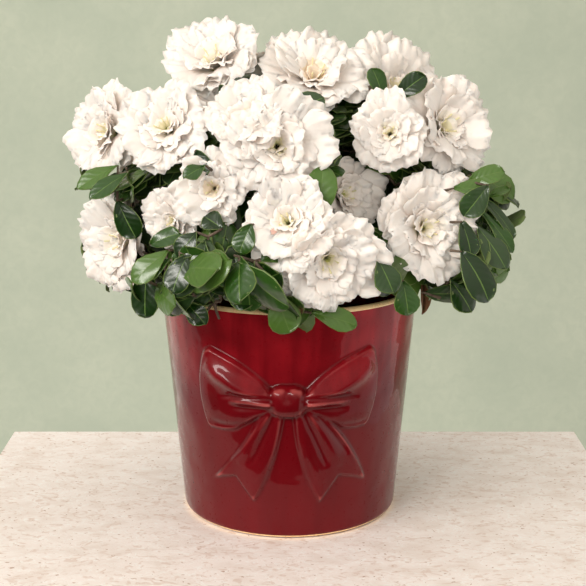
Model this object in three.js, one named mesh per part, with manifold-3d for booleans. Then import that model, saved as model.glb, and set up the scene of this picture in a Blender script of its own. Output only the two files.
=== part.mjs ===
// A double-flowered white azalea in a glazed ceramic cachepot with a moulded bow.
// Millimetres, +Z up. The origin is the centre of the pot's flat underside, and the bow faces -Y.
import * as THREE from "three";
import { mergeVertices } from "three/addons/utils/BufferGeometryUtils.js";
import Module from "manifold-3d";

const wasm = await Module();
wasm.setup();

// Driving dimensions of the pot
const RIM_RADIUS = 75;
const FOOT_RADIUS = 63;
const POT_HEIGHT = 132;
const WALL = 4.4;
const FLOOR = 7;
const FOOT_ROUND = 4;
const POT_SIDES = 48;

// Driving dimensions of the plant
const SEAT_GAP = 0.3; // clear space where one piece rests on another
const SOIL_LEVEL = 112;
const CROWN_HEART = new THREE.Vector3(0, 0, 165);
const CROWN_WIDTH = 262;
const CROWN_TOP = 286;
const CROWN_FOOT = 116;
const CROWN_BULK = 2.6; // 2 is an ellipsoid, and more is a boxier dome
const TRUNK_TOP = 142;
const TRUNK_RADIUS = 5.2;
const ROOT_FLARE = 1.9;
const BOUGH_RADIUS = 2.6;
const TWIG_RADIUS = 1.1;
const LEAF_LENGTH = 34;
const LEAF_WIDTH = 18;
const LEAF_THICKNESS = 1.2;
const LEAVES_PER_TUFT = 5;
const LEAF_STEP = 2.4; // how far apart along its twig the leaves of a tuft sit

const UP = new THREE.Vector3(0, 0, 1);
const GOLDEN_ANGLE = THREE.MathUtils.degToRad(137.5);

// A seeded run of numbers from 0 to 1.
function dice(seed) {
  let state = seed;
  return () => {
    state = (state * 1664525 + 1013904223) % 4294967296;
    return state / 4294967296;
  };
}

// A direction or place from an azimuth, 0 at the bow and positive to its right.
function facing(azimuth, elevation) {
  const a = THREE.MathUtils.degToRad(azimuth);
  const e = THREE.MathUtils.degToRad(elevation);
  return new THREE.Vector3(
    Math.sin(a) * Math.cos(e),
    -Math.cos(a) * Math.cos(e),
    Math.sin(e),
  );
}

function place(azimuth, out, height) {
  return facing(azimuth, 0).multiplyScalar(out).setZ(height);
}

// Solids from geometries, and back
function solidOf(geometry) {
  const bare = new THREE.BufferGeometry()
    .setAttribute("position", geometry.getAttribute("position"))
    .setIndex(geometry.index);
  const merged = mergeVertices(bare, 1e-4);
  return new wasm.Manifold(
    new wasm.Mesh({
      numProp: 3,
      vertProperties: merged.attributes.position.array,
      triVerts: new Uint32Array(merged.index.array),
    }),
  );
}

const TIDY = 0.05; // edges shorter than this are closed up

// The largest body of a solid, without the scraps that a cut leaves.
function largest(solid) {
  return solid.decompose().reduce((a, b) => (a.volume() > b.volume() ? a : b));
}

function geometryOf(solid) {
  const mesh = solid.getMesh();
  const geometry = new THREE.BufferGeometry()
    .setAttribute("position", new THREE.BufferAttribute(mesh.vertProperties, 3))
    .setIndex(new THREE.BufferAttribute(mesh.triVerts, 1));
  const flat = geometry.toNonIndexed();
  flat.computeVertexNormals();
  return flat;
}

// Moves each vertex of a geometry to where(vertex) puts it.
function mould(geometry, where) {
  const position = geometry.getAttribute("position");
  const vertex = new THREE.Vector3();
  for (let i = 0; i < position.count; i++) {
    const moved = where(vertex.fromBufferAttribute(position, i));
    position.setXYZ(i, moved.x, moved.y, moved.z);
  }
  return geometry;
}

// A limb: a closed cylinder bent along a curve, as thick as radiusAt says from its root (0) to its tip (1).
function limb(points, radiusAt, sides, steps) {
  const curve = new THREE.CatmullRomCurve3(points);
  const frames = curve.computeFrenetFrames(steps, false);
  const cylinder = new THREE.CylinderGeometry(1, 1, 1, sides, steps);
  return mould(cylinder, (v) => {
    const step = Math.round((v.y + 0.5) * steps);
    const t = step / steps;
    const r = radiusAt(t);
    return curve
      .getPointAt(t)
      .addScaledVector(frames.normals[step], v.z * r)
      .addScaledVector(frames.binormals[step], v.x * r);
  });
}

function wallRadius(height) {
  return FOOT_RADIUS + ((RIM_RADIUS - FOOT_RADIUS) * height) / POT_HEIGHT;
}

// The pot's body: a straight taper with a rounded lip and a rounded foot.
function potBody() {
  const lip = WALL / 2;
  const profile = [new THREE.Vector2(0, 0)];
  for (let i = 0; i <= 2; i++) {
    const a = (i / 2) * (Math.PI / 2);
    profile.push(
      new THREE.Vector2(
        wallRadius(FOOT_ROUND) - FOOT_ROUND * (1 - Math.sin(a)),
        FOOT_ROUND * (1 - Math.cos(a)),
      ),
    );
  }
  for (let i = 0; i <= 4; i++) {
    const a = (i / 4) * Math.PI;
    profile.push(
      new THREE.Vector2(
        wallRadius(POT_HEIGHT - lip) - lip + lip * Math.cos(a),
        POT_HEIGHT - lip + lip * Math.sin(a),
      ),
    );
  }
  profile.push(new THREE.Vector2(wallRadius(FLOOR) - WALL - 2, FLOOR + 2));
  profile.push(new THREE.Vector2(wallRadius(FLOOR) - WALL - 6, FLOOR));
  profile.push(new THREE.Vector2(0, FLOOR));
  return solidOf(
    new THREE.LatheGeometry(profile, POT_SIDES).rotateX(Math.PI / 2),
  );
}

// A place on the pot's wall: across is measured round the wall from the middle of the bow.
function onWall(across, height, proud) {
  const r = wallRadius(height) + proud;
  const a = across / wallRadius(height);
  return new THREE.Vector3(r * Math.sin(a), -r * Math.cos(a), height);
}

// The bow, half of it: each ribbon runs between two edge curves, from the knot outwards.
const BOW = {
  knot: { height: 83.8, halfWidth: 10.4, halfHeight: 8.8, proud: 7.5 },
  loop: {
    from: [[6, 79], [22, 69], [45.5, 65]],
    to: [[6, 89.5], [21, 105], [44.5, 111.5]],
    bulge: 7,
    notch: 0,
    edge: 2.2,
    puff: 3.6,
  },
  tail: {
    from: [[2, 78], [4.5, 50], [18.5, 23]],
    to: [[10, 78], [35, 64], [46.5, 32]],
    bulge: 0,
    notch: 0.18,
    edge: 1.8,
    puff: 2,
  },
};
const RELIEF_ROOT = 1.5; // how far the relief runs into the wall
const RIBBON_STEPS = 6;
const RIBBON_BANDS = 5;

function ribbonPoint(ribbon, u, v) {
  const edge = (e) =>
    new THREE.QuadraticBezierCurve(...e.map((p) => new THREE.Vector2(...p)));
  const reach = u * (1 - ribbon.notch * (1 - Math.abs(2 * v - 1)));
  const p = edge(ribbon.from)
    .getPoint(reach)
    .lerp(edge(ribbon.to).getPoint(reach), v);
  p.x += ribbon.bulge * u * u * (1 - (2 * v - 1) ** 2);
  return p;
}

function ribbonProud(ribbon, u, v) {
  const crease = 1 - 0.6 * Math.exp(-(((v - 0.45) / 0.16) ** 2)) * (1 - u);
  return ribbon.edge + ribbon.puff * Math.sin(Math.PI * v) * crease;
}

function ribbonSolid(ribbon, side) {
  const box = new THREE.BoxGeometry(1, 1, 1, RIBBON_STEPS, RIBBON_BANDS, 1);
  const shape = mould(box, (p) => {
    const u = p.x + 0.5;
    const v = p.y + 0.5;
    const at = ribbonPoint(ribbon, u, v);
    const proud = p.z > 0 ? ribbonProud(ribbon, u, v) : -RELIEF_ROOT;
    return onWall(side * at.x, at.y, proud);
  });
  if (side < 0) shape.index.array.reverse();
  return solidOf(shape);
}

function knotSolid() {
  const { height, halfWidth, halfHeight, proud } = BOW.knot;
  const ball = new THREE.SphereGeometry(1, 12, 8);
  return solidOf(
    mould(ball, (p) => {
      const full = (x) => Math.sign(x) * Math.abs(x) ** 0.7;
      return onWall(
        halfWidth * full(p.x),
        height + halfHeight * full(p.y),
        p.z > 0 ? proud * p.z : RELIEF_ROOT * p.z,
      );
    }),
  );
}

function pot() {
  let solid = potBody();
  for (const side of [-1, 1]) {
    solid = solid.add(ribbonSolid(BOW.tail, side));
    solid = solid.add(ribbonSolid(BOW.loop, side));
  }
  return solid.add(knotSolid()).simplify(TIDY);
}

// The peat that fills the pot, a little mounded round the trunk.
function soil() {
  const inside = (height) => wallRadius(height) - WALL - SEAT_GAP - 0.15;
  const bottom = FLOOR + SEAT_GAP;
  const profile = [
    new THREE.Vector2(0, bottom),
    new THREE.Vector2(inside(FLOOR) - 6.2, bottom),
    new THREE.Vector2(inside(FLOOR) - 2.2, bottom + 2.2),
    new THREE.Vector2(inside(SOIL_LEVEL - 5), SOIL_LEVEL - 5),
    new THREE.Vector2(38, SOIL_LEVEL - 1.5),
    new THREE.Vector2(16, SOIL_LEVEL),
    new THREE.Vector2(0, SOIL_LEVEL),
  ];
  return solidOf(
    new THREE.LatheGeometry(profile, POT_SIDES).rotateX(Math.PI / 2),
  );
}

// The blooms that give the crown its face: where each sits, how wide it is and which way it looks.
const bloom = (azimuth, out, height, width, turn, tilt) => ({
  at: place(azimuth, out, height),
  width,
  look: facing(turn, tilt),
});

const MASSES = [
  { name: "top_left", blooms: [bloom(-70, 45, 266, 58, -18, 42)] },
  {
    name: "left_shoulder",
    blooms: [bloom(-82, 106, 225, 54, -38, 14), bloom(-53, 84, 228, 56, -18, 25)],
  },
  { name: "front_centre", blooms: [bloom(-3, 82, 227, 70, 0, 22)] },
  {
    name: "top_right",
    blooms: [bloom(35, 25, 258, 62, 12, 48), bloom(94, 62, 254, 52, 40, 44)],
  },
  {
    name: "right_shoulder",
    blooms: [bloom(43, 78, 228, 48, -5, 15), bloom(76, 98, 224, 58, 42, 18)],
  },
  {
    name: "front_left",
    blooms: [bloom(-29, 85, 200, 46, -10, 10), bloom(-44, 95, 182, 38, -36, -4)],
  },
  { name: "low_left", blooms: [bloom(-68, 104, 166, 54, -42, 2)] },
  { name: "front_low", blooms: [bloom(7, 93, 175, 70, 3, 8)] },
  {
    name: "low_right",
    blooms: [bloom(52, 95, 177, 60, 22, 12), bloom(39, 60, 194, 42, 50, 20)],
  },
  { name: "top_back", blooms: [bloom(190, 36, 253, 56, 185, 66)] },
];

// The back of the crown repeats one pattern: a low bloom and a high one to each mass.
const BACK_MASSES = 5;
const BACK_FROM = 112;
const BACK_STEP = 34;
for (let i = 0; i < BACK_MASSES; i++) {
  const roll = dice(40 + i);
  const azimuth = BACK_FROM + BACK_STEP * i;
  const sway = 8 * (roll() - 0.5);
  const low = bloom(azimuth + sway, 98, 178 + 16 * roll(), 52 + 12 * roll(), azimuth, 8);
  const high = bloom(azimuth - sway, 74, 232 + 10 * roll(), 50 + 10 * roll(), azimuth, 38);
  MASSES.push({ name: `back_${i + 1}`, blooms: [low, high] });
}

// Each mass has a heart, and planes between the hearts divide the crown into one space for each.
const HEART_DEPTH = 0.8;
const SPACE_MARGIN = 0.25;
for (const mass of MASSES) {
  const middle = new THREE.Vector3();
  mass.blooms.forEach((b) => middle.addScaledVector(b.at, 1 / mass.blooms.length));
  mass.heart = CROWN_HEART.clone().lerp(middle, HEART_DEPTH);
  mass.reach = Math.max(
    ...mass.blooms.map((b) => b.at.distanceTo(middle) + b.width / 2),
  );
}
for (const mass of MASSES) {
  mass.walls = MASSES.filter((other) => other !== mass).map((other) => {
    const normal = other.heart.clone().sub(mass.heart).normalize();
    const share = mass.reach / (mass.reach + other.reach);
    const on = mass.heart.clone().lerp(other.heart, share);
    return { normal, offset: normal.dot(on) - SPACE_MARGIN };
  });
}

// How far inside its mass's space a point lies; it is below 0 outside.
function room(mass, point) {
  return Math.min(...mass.walls.map((w) => w.offset - w.normal.dot(point)));
}

// 1 on the crown's outline, 0 at its heart.
function crownShare(p) {
  const side = Math.hypot(p.x, p.y) / (CROWN_WIDTH / 2);
  const rise = p.z - CROWN_HEART.z;
  const tall = rise > 0 ? CROWN_TOP - CROWN_HEART.z : CROWN_HEART.z - CROWN_FOOT;
  return (side ** CROWN_BULK + (Math.abs(rise) / tall) ** CROWN_BULK) ** (1 / CROWN_BULK);
}

// The trunk leans a little and flares at the root, from a flat cut on the soil.
function trunkPoint(height) {
  const t = (height - SOIL_LEVEL) / (TRUNK_TOP - SOIL_LEVEL);
  return new THREE.Vector3(2.5 * t * t, 1.5 * t, height);
}

function trunkRadius(t) {
  return TRUNK_RADIUS * (1 - 0.3 * t) + (ROOT_FLARE + 1) * Math.exp(-t * 9);
}

function trunk() {
  const foot = trunkPoint(SOIL_LEVEL + SEAT_GAP);
  const points = [0, 0.35, 0.7, 1].map((t) =>
    trunkPoint(THREE.MathUtils.lerp(SOIL_LEVEL + SEAT_GAP, TRUNK_TOP, t)),
  );
  const geometry = limb(points, trunkRadius, 10, 8);
  return solidOf(
    mould(geometry, (v) => {
      if (v.z < foot.z + 0.8) v.z = foot.z;
      return v;
    }),
  );
}

// One bough to each mass, leaving the trunk in tiers, the low masses from the lowest.
const TIER_LOW = 121;
const TIER_HIGH = TRUNK_TOP - 3;
const BOUGH_SHARE = 0.5;
function boughPoints(mass) {
  const rise = THREE.MathUtils.clamp((mass.heart.z - 160) / 75, 0, 1);
  const root = trunkPoint(THREE.MathUtils.lerp(TIER_LOW, TIER_HIGH, rise));
  const tip = trunkPoint(TRUNK_TOP).lerp(mass.heart, BOUGH_SHARE + 0.1 * rise);
  const elbow = root.clone().lerp(tip, 0.5);
  elbow.z -= 3 * (1 - rise);
  return [root, elbow, tip];
}

function boughRadius(t) {
  return BOUGH_RADIUS * (1 - 0.4 * t);
}

for (const mass of MASSES) mass.bough = boughPoints(mass);

// A bough's shape, or with spare the space that other pieces leave round it.
function boughSolid(mass, spare) {
  const [root, elbow, tip] = mass.bough;
  const end = tip.clone().addScaledVector(tip.clone().sub(elbow).normalize(), spare);
  return solidOf(limb([root, elbow, end], (t) => boughRadius(t) + spare, 5, 4));
}

// The boughs crowd at the trunk, so each is cut clear of the trunk and of the boughs made before it.
function boughs() {
  const points = [0, 0.35, 0.7, 1].map((t) =>
    trunkPoint(THREE.MathUtils.lerp(SOIL_LEVEL - 1, TRUNK_TOP + SEAT_GAP, t)),
  );
  let taken = solidOf(limb(points, (t) => trunkRadius(t) + SEAT_GAP + 0.1, 10, 8));
  return MASSES.map((mass) => {
    const solid = largest(boughSolid(mass, 0).subtract(taken).simplify(TIDY));
    const space = boughSolid(mass, SEAT_GAP);
    taken = taken.add(space);
    return { space, solid };
  });
}

// Distance from a point to the line between two others.
function toSegment(point, a, b) {
  const line = new THREE.Line3(a, b);
  return line.closestPointToPoint(point, true, new THREE.Vector3()).distanceTo(point);
}

// True where a point is clear of the limbs, the pot and the soil.
function isClear(point, spare) {
  for (const mass of MASSES) {
    const [root, elbow, tip] = mass.bough;
    if (toSegment(point, root, elbow) < BOUGH_RADIUS + spare) return false;
    if (toSegment(point, elbow, tip) < BOUGH_RADIUS + spare) return false;
  }
  const foot = trunkPoint(SOIL_LEVEL);
  if (toSegment(point, foot, trunkPoint(TRUNK_TOP)) < TRUNK_RADIUS + ROOT_FLARE + spare) {
    return false;
  }
  const out = Math.hypot(point.x, point.y);
  if (out > RIM_RADIUS + spare) return true;
  if (point.z > POT_HEIGHT + spare) return true;
  return out < RIM_RADIUS - WALL - 3 - spare && point.z > SOIL_LEVEL + spare;
}

// A twig between two points, three-sided.
function twig(a, b, rootRadius, tipRadius) {
  const along = b.clone().sub(a);
  const turn = new THREE.Quaternion().setFromUnitVectors(
    new THREE.Vector3(0, 1, 0),
    along.clone().normalize(),
  );
  const prism = new THREE.CylinderGeometry(tipRadius, rootRadius, along.length(), 3, 1);
  return solidOf(
    prism.applyQuaternion(turn).translate(...a.clone().lerp(b, 0.5).toArray()),
  );
}

// A leaf: an eight-sided lozenge, widest past its middle, with its root at the twig.
function leafFrame(root, along, face) {
  const side = new THREE.Vector3().crossVectors(along, face).normalize();
  const normal = new THREE.Vector3().crossVectors(side, along).normalize();
  return { root, along, side, normal };
}

const LEAF_BROADEST = 0.58;
const LEAF_ROOT = 0.1;
function leafPoints(frame, length, width) {
  const at = (t, across, lift) =>
    frame.root
      .clone()
      .addScaledVector(frame.along, t * length)
      .addScaledVector(frame.side, across * width)
      .addScaledVector(frame.normal, lift);
  return [at(1, 0, 0), at(LEAF_BROADEST, 0.5, 0), at(LEAF_BROADEST, -0.5, 0), at(0.5, 0, 0)];
}

function leaf(frame, length, width) {
  return solidOf(
    mould(new THREE.OctahedronGeometry(1), (v) => {
      const t = v.y === 0 ? LEAF_BROADEST : (v.y + 1) / 2;
      return frame.root
        .clone()
        .addScaledVector(frame.along, t * (length + LEAF_ROOT) - LEAF_ROOT)
        .addScaledVector(frame.side, (v.x * width) / 2)
        .addScaledVector(frame.normal, (v.z * LEAF_THICKNESS) / 2 + (v.z === 0 ? 0 : 0.6));
    }),
  );
}

// A bloom: a tube that opens into a ruffled skirt, with a ruffled ring and a hollow throat inside it.
const BLOOM_DEPTH = 0.52;
const BLOOM_SIDES = 10; // two to each of its five lobes
function bloomSolid(one, seed) {
  const roll = dice(seed);
  const phase = [roll(), roll()].map((x) => x * 2 * Math.PI);
  const r = one.width / 2;
  const profile = [
    [0, -1], [0.1, -0.94], [0.55, -0.3], [1, 0.14], [0.7, 0.2],
    [0.52, 0.74], [0.2, 0.45], [0, 0.3],
  ].map(([x, y]) => new THREE.Vector2(x * r, y * r * BLOOM_DEPTH));
  const lathe = new THREE.LatheGeometry(profile, BLOOM_SIDES);
  const turn = new THREE.Quaternion().setFromUnitVectors(new THREE.Vector3(0, 1, 0), one.look);
  return solidOf(
    mould(lathe, (v) => {
      const out = Math.hypot(v.x, v.z);
      const a = Math.atan2(v.x, v.z);
      const skirt = THREE.MathUtils.smoothstep(out / r, 0.3, 0.9);
      const lobes = 0.07 * Math.cos(5 * a) * skirt;
      const frill = 0.16 * Math.sin(3 * a + phase[0]) + 0.1 * Math.sin(5 * a + phase[1]);
      v.x *= 1 + lobes;
      v.z *= 1 + lobes;
      v.y += frill * out * (v.y > -0.5 * r * BLOOM_DEPTH ? 0.55 : 0);
      return v.applyQuaternion(turn).add(one.at);
    }),
  );
}

function bloomRoot(one) {
  return one.at.clone().addScaledVector(one.look, (-0.9 * one.width * BLOOM_DEPTH) / 2);
}

// Shoots whose leaves stand out past the blooms or hang over the rim: azimuth, distance out, height.
const SHOOTS = [
  [96, 117, 184], [98, 116, 163], [88, 112, 150], [76, 99, 146], [-97, 108, 193], [-92, 108, 176],
  [-68, 88, 136], [-47, 86, 140], [-24, 88, 142], [3, 86, 138], [18, 85, 137], [40, 86, 142],
].map((shoot) => place(...shoot));

// A place for a leaf tuft: in its mass's space, under the crown's outline, clear of blooms and limbs.
const TUFT_SHARES = [0.5, 0.86];
const TUFT_SPREAD = 120;
function tuftPlace(mass, roll) {
  const spot = new THREE.Vector3(roll() - 0.5, roll() - 0.5, roll() - 0.5);
  const p = spot.multiplyScalar(TUFT_SPREAD).add(mass.heart);
  const share = crownShare(p);
  const inReach = share > TUFT_SHARES[0] && share < TUFT_SHARES[1];
  const open = mass.blooms.every((b) => b.at.distanceTo(p) > 0.4 * b.width);
  return inReach && open && room(mass, p) > 3 && isClear(p, 5) ? p : null;
}

// The leaves of one tuft, spiralling back along their twig from its tip.
function tuftLeaves(mass, tip, from, roll) {
  const back = from.clone().sub(tip).normalize();
  const axis = tip.clone().sub(CROWN_HEART).normalize().multiplyScalar(1.4)
    .sub(back)
    .addScaledVector(UP, (tip.z - CROWN_HEART.z) / 90)
    .normalize();
  const across = new THREE.Vector3().crossVectors(axis, UP).normalize();
  const start = roll() * 2 * Math.PI;
  const leaves = [];
  for (let k = 0; k < LEAVES_PER_TUFT; k++) {
    const spread = THREE.MathUtils.degToRad(42 + 34 * roll());
    const length = LEAF_LENGTH * (0.8 + 0.35 * roll());
    const width = (LEAF_WIDTH * length) / LEAF_LENGTH;
    const round = across.clone().applyAxisAngle(axis, start + k * GOLDEN_ANGLE);
    const along = axis.clone().multiplyScalar(Math.cos(spread))
      .addScaledVector(round, Math.sin(spread));
    const root = tip.clone().addScaledVector(back, k * LEAF_STEP);
    const frame = leafFrame(root, along, axis);
    const corners = leafPoints(frame, length, width);
    const fits = (q) => room(mass, q) > 0.7 && crownShare(q) < 1.04 && isClear(q, 1);
    if (corners.every(fits)) leaves.push(leaf(frame, length, width));
  }
  return leaves;
}

// Grows a mass from its stem. A twig joins each bloom and each tuft to the nearest wood laid so far.
// A tuft is kept where its twig and at least two of its leaves cross nothing.
const FORK_STEP = 6;
const LIMB_GAP = 1; // the least distance of a leaf from the pot, the trunk and the boughs
const TUFTS_TRIED = 1500;
const TUFT_SPACING = 11;
const LEAVES_PER_MASS = 22;
function growMass(mass, boughSpace, limbs, seed) {
  const roll = dice(seed);
  const stem = twig(mass.bough[2], mass.heart, boughRadius(1), TWIG_RADIUS * 1.3);
  const solids = [stem];
  const forks = new Set(); // the places a twig may start from, each used once
  const lay = (a, b) => {
    forks.delete(a);
    const steps = Math.max(1, Math.round(a.distanceTo(b) / FORK_STEP));
    for (let i = 1; i <= steps; i++) forks.add(a.clone().lerp(b, i / steps));
  };
  const nearest = (p) =>
    [...forks].reduce((a, b) => (a.distanceTo(p) <= b.distanceTo(p) ? a : b));
  const crosses = (solid, others) => others.some((o) => !solid.intersect(o).isEmpty());
  lay(mass.bough[2], mass.heart);

  mass.blooms.forEach((one, i) => {
    const root = bloomRoot(one);
    const from = nearest(root);
    const inside = root.clone().addScaledVector(one.look, 4);
    lay(from, root);
    const flower = mass.walls.reduce(
      (solid, w) => solid.trimByPlane(w.normal.clone().negate().toArray(), -w.offset),
      bloomSolid(one, seed * 10 + i),
    );
    solids.push(twig(from, inside, TWIG_RADIUS * 1.2, TWIG_RADIUS), flower);
  });

  const kept = [];
  const leaves = [];
  const shoots = SHOOTS.filter((shoot) => room(mass, shoot) > 2);
  for (let i = 0; i < TUFTS_TRIED && leaves.length < LEAVES_PER_MASS; i++) {
    const tip = shoots[i] ?? tuftPlace(mass, roll);
    if (!tip || kept.some((q) => q.distanceTo(tip) < TUFT_SPACING)) continue;
    const from = nearest(tip);
    const onWay = [0.35, 0.7].map((t) => from.clone().lerp(tip, t));
    if (!onWay.every((q) => room(mass, q) > TWIG_RADIUS && isClear(q, 1.5))) continue;
    const spray = twig(from, tip, TWIG_RADIUS, TWIG_RADIUS * 0.8);
    if (crosses(spray, leaves)) continue;
    const found = [];
    for (const one of tuftLeaves(mass, tip, from, roll)) {
      if (limbs.some((l) => one.minGap(l, LIMB_GAP) < LIMB_GAP)) continue;
      if (!crosses(one, [...solids, ...leaves, ...found])) found.push(one);
    }
    if (found.length < 2) continue;
    lay(from, tip);
    kept.push(tip);
    leaves.push(...found);
    solids.push(spray);
  }

  const whole = wasm.Manifold.union([...solids, ...leaves]).subtract(boughSpace);
  return largest(whole.simplify(TIDY));
}

// Finishes
const FINISHES = {
  glaze: { color: 0x6e0f16, roughness: 0.12, metalness: 0 },
  peat: { color: 0x2a1c12, roughness: 0.95, metalness: 0 },
  bark: { color: 0x5a4432, roughness: 0.85, metalness: 0 },
  foliage: { color: 0x2f5a28, roughness: 0.45, metalness: 0 },
};

const group = new THREE.Group();
function addPiece(name, solid, finish) {
  const mesh = new THREE.Mesh(
    geometryOf(solid),
    new THREE.MeshStandardMaterial(FINISHES[finish]),
  );
  mesh.name = name;
  group.add(mesh);
}

const limbs = [pot(), trunk()];
const grown = boughs();
addPiece("pot", limbs[0], "glaze");
addPiece("soil", soil(), "peat");
addPiece("trunk", limbs[1], "bark");
limbs.push(...grown.map(({ solid }) => solid));
grown.forEach(({ solid, space }, i) => {
  const { name } = MASSES[i];
  addPiece(`bough_${name}`, solid, "bark");
  addPiece(`foliage_${name}`, growMass(MASSES[i], space, limbs, 7 + i), "foliage");
});

export default group;
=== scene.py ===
# %% [markdown]
# # A white azalea in a red glazed pot
#
# The plant is a florist's azalea: a short woody trunk, a dome of evergreen leaves, and double
# flowers whose petals are ruffled like a petticoat. It stands in a tapered ceramic cachepot with
# a moulded ribbon bow under a deep red glaze and a gilded rim. The solids of the frame give every
# piece its place and reach, and this script dresses them with fine meshes and finishes.

import math

import bpy
import numpy as np
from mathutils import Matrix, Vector, noise


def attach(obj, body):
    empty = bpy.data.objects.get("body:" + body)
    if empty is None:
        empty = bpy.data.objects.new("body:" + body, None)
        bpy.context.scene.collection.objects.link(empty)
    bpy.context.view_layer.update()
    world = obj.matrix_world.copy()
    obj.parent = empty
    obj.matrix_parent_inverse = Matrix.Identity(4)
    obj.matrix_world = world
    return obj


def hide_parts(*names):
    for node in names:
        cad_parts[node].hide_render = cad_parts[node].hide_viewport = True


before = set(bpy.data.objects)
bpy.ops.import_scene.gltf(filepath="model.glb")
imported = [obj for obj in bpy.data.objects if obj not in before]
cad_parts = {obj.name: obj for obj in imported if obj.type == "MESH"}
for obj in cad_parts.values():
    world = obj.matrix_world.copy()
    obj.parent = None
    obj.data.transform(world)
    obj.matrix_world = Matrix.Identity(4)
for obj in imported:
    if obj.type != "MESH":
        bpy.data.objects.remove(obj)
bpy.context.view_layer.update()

# %% [markdown]
# ## Numbers that everything shares
#
# Lengths are in millimetres, as on the maker's drawing, and become metres only when a mesh is
# made. One small rule makes every random number from a seed, so that the plant grows the same way
# each time and the same way as the solids did.

# %% Sizes and the seeded dice
MM = 0.001
RIM_RADIUS, FOOT_RADIUS, POT_HEIGHT, WALL = 75.0, 63.0, 135.0, 4.4
FLOOR, FOOT_ROUND = 7.0, 4.0
SOIL_LEVEL = 112.0
CROWN_HEART = np.array([0.0, 0.0, 165.0])
CROWN_WIDTH, CROWN_TOP, CROWN_FOOT, CROWN_BULK = 262.0, 286.0, 116.0, 2.6
TRUNK_TOP, TRUNK_RADIUS, ROOT_FLARE = 142.0, 5.2, 1.9
BOUGH_RADIUS, TWIG_RADIUS = 2.6, 1.1
LEAF_LENGTH, LEAF_WIDTH = 32.0, 19.5
GOLDEN_ANGLE = math.radians(137.5)
UP = np.array([0.0, 0.0, 1.0])


def dice(seed):
    """A seeded run of numbers from 0 to 1."""
    state = seed
    while True:
        state = (state * 1664525 + 1013904223) % 4294967296
        yield state / 4294967296


def facing(azimuth, elevation):
    """The direction at an azimuth, 0 at the bow and positive to its right."""
    a, e = math.radians(azimuth), math.radians(elevation)
    return np.array([math.sin(a) * math.cos(e), -math.cos(a) * math.cos(e), math.sin(e)])


def place(azimuth, out, height):
    spot = facing(azimuth, 0) * out
    spot[2] = height
    return spot


def unit(v):
    return v / max(np.linalg.norm(v), 1e-9)


def smooth(x, low, high):
    """0 below low, 1 above high, and an easy slope between."""
    t = np.clip((x - low) / (high - low), 0, 1)
    return t * t * (3 - 2 * t)


# %% [markdown]
# ## From arrays to Blender meshes
#
# Thousands of leaves and petals can't each be an object. A heap gathers the corners and faces of
# everything of one kind, and becomes one mesh at the end. Each face keeps the number of its
# finish, so one mesh can hold several finishes.


# %% The heap
class Heap:
    """Corners, four-sided faces and finish numbers, gathered for one mesh."""

    def __init__(self):
        self.corners, self.faces, self.finishes, self.patterns = [], [], [], []
        self.count = 0

    def add(self, corners, faces, finishes, patterns=None):
        self.corners.append(corners)
        self.faces.append(faces + self.count)
        self.finishes.append(np.broadcast_to(finishes, len(faces)))
        self.patterns.append(np.zeros((len(corners), 2)) if patterns is None else patterns)
        self.count += len(corners)


def grid_faces(rows, cols, closed=False):
    """The faces of a grid of corners that is stored row by row."""
    r, c = np.meshgrid(np.arange(rows - 1), np.arange(cols if closed else cols - 1), indexing="ij")
    r, c = r.ravel(), c.ravel()
    d = (c + 1) % cols
    return np.stack([r * cols + c, r * cols + d, (r + 1) * cols + d, (r + 1) * cols + c], 1)


def make_piece(name, heap, materials, nodes):
    """One object from a heap. It rides on the only body and stands for the nodes."""
    corners = np.concatenate(heap.corners) * MM
    faces = np.concatenate(heap.faces)
    mesh = bpy.data.meshes.new(name)
    mesh.vertices.add(len(corners))
    mesh.vertices.foreach_set("co", corners.astype(np.float32).ravel())
    mesh.loops.add(faces.size)
    mesh.loops.foreach_set("vertex_index", faces.astype(np.int32).ravel())
    mesh.polygons.add(len(faces))
    mesh.polygons.foreach_set("loop_start", np.arange(0, faces.size, 4, dtype=np.int32))
    mesh.update(calc_edges=True)
    for material in materials:
        mesh.materials.append(material)
    mesh.polygons.foreach_set("material_index", np.concatenate(heap.finishes).astype(np.int32))
    mesh.polygons.foreach_set("use_smooth", np.ones(len(faces), bool))
    pattern = mesh.uv_layers.new(name="pattern")
    where = np.concatenate(heap.patterns)[faces.ravel()]
    pattern.data.foreach_set("uv", where.astype(np.float32).ravel())
    mesh.validate()
    piece = bpy.data.objects.new(name, mesh)
    bpy.context.scene.collection.objects.link(piece)
    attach(piece, "root")
    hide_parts(*nodes)
    print(name, "has", 2 * len(faces), "triangles")
    return piece


def thin_sheet(heap, points, thickness, finishes, under=None, patterns=None):
    """Adds a closed sheet: a grid of points, thickened on both sides and sewn round its edge."""
    rows, cols = points.shape[:2]
    along = np.gradient(points, axis=0)
    across = np.gradient(points, axis=1)
    normal = np.cross(across, along)
    normal /= np.maximum(np.linalg.norm(normal, axis=2, keepdims=True), 1e-9)
    corners = np.concatenate([(points + normal * thickness / 2).reshape(-1, 3),
                              (points - normal * thickness / 2).reshape(-1, 3)])
    face = grid_faces(rows, cols)
    half = rows * cols
    ring = np.concatenate([np.arange(cols), np.arange(1, rows) * cols + cols - 1,
                           (rows - 1) * cols + np.arange(cols - 2, -1, -1),
                           np.arange(rows - 2, 0, -1) * cols])
    nxt = np.roll(ring, -1)
    rim = np.stack([nxt, ring, ring + half, nxt + half], 1)
    finish = np.broadcast_to(finishes, (rows - 1, cols - 1)).ravel()
    below = finish if under is None else np.full(len(face), under)
    edge = finish[-1] if under is None else under
    heap.add(corners, np.concatenate([face, face[:, ::-1] + half, rim]),
             np.concatenate([finish, below, np.full(len(rim), edge)]),
             None if patterns is None else np.concatenate([patterns.reshape(-1, 2)] * 2))


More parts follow.
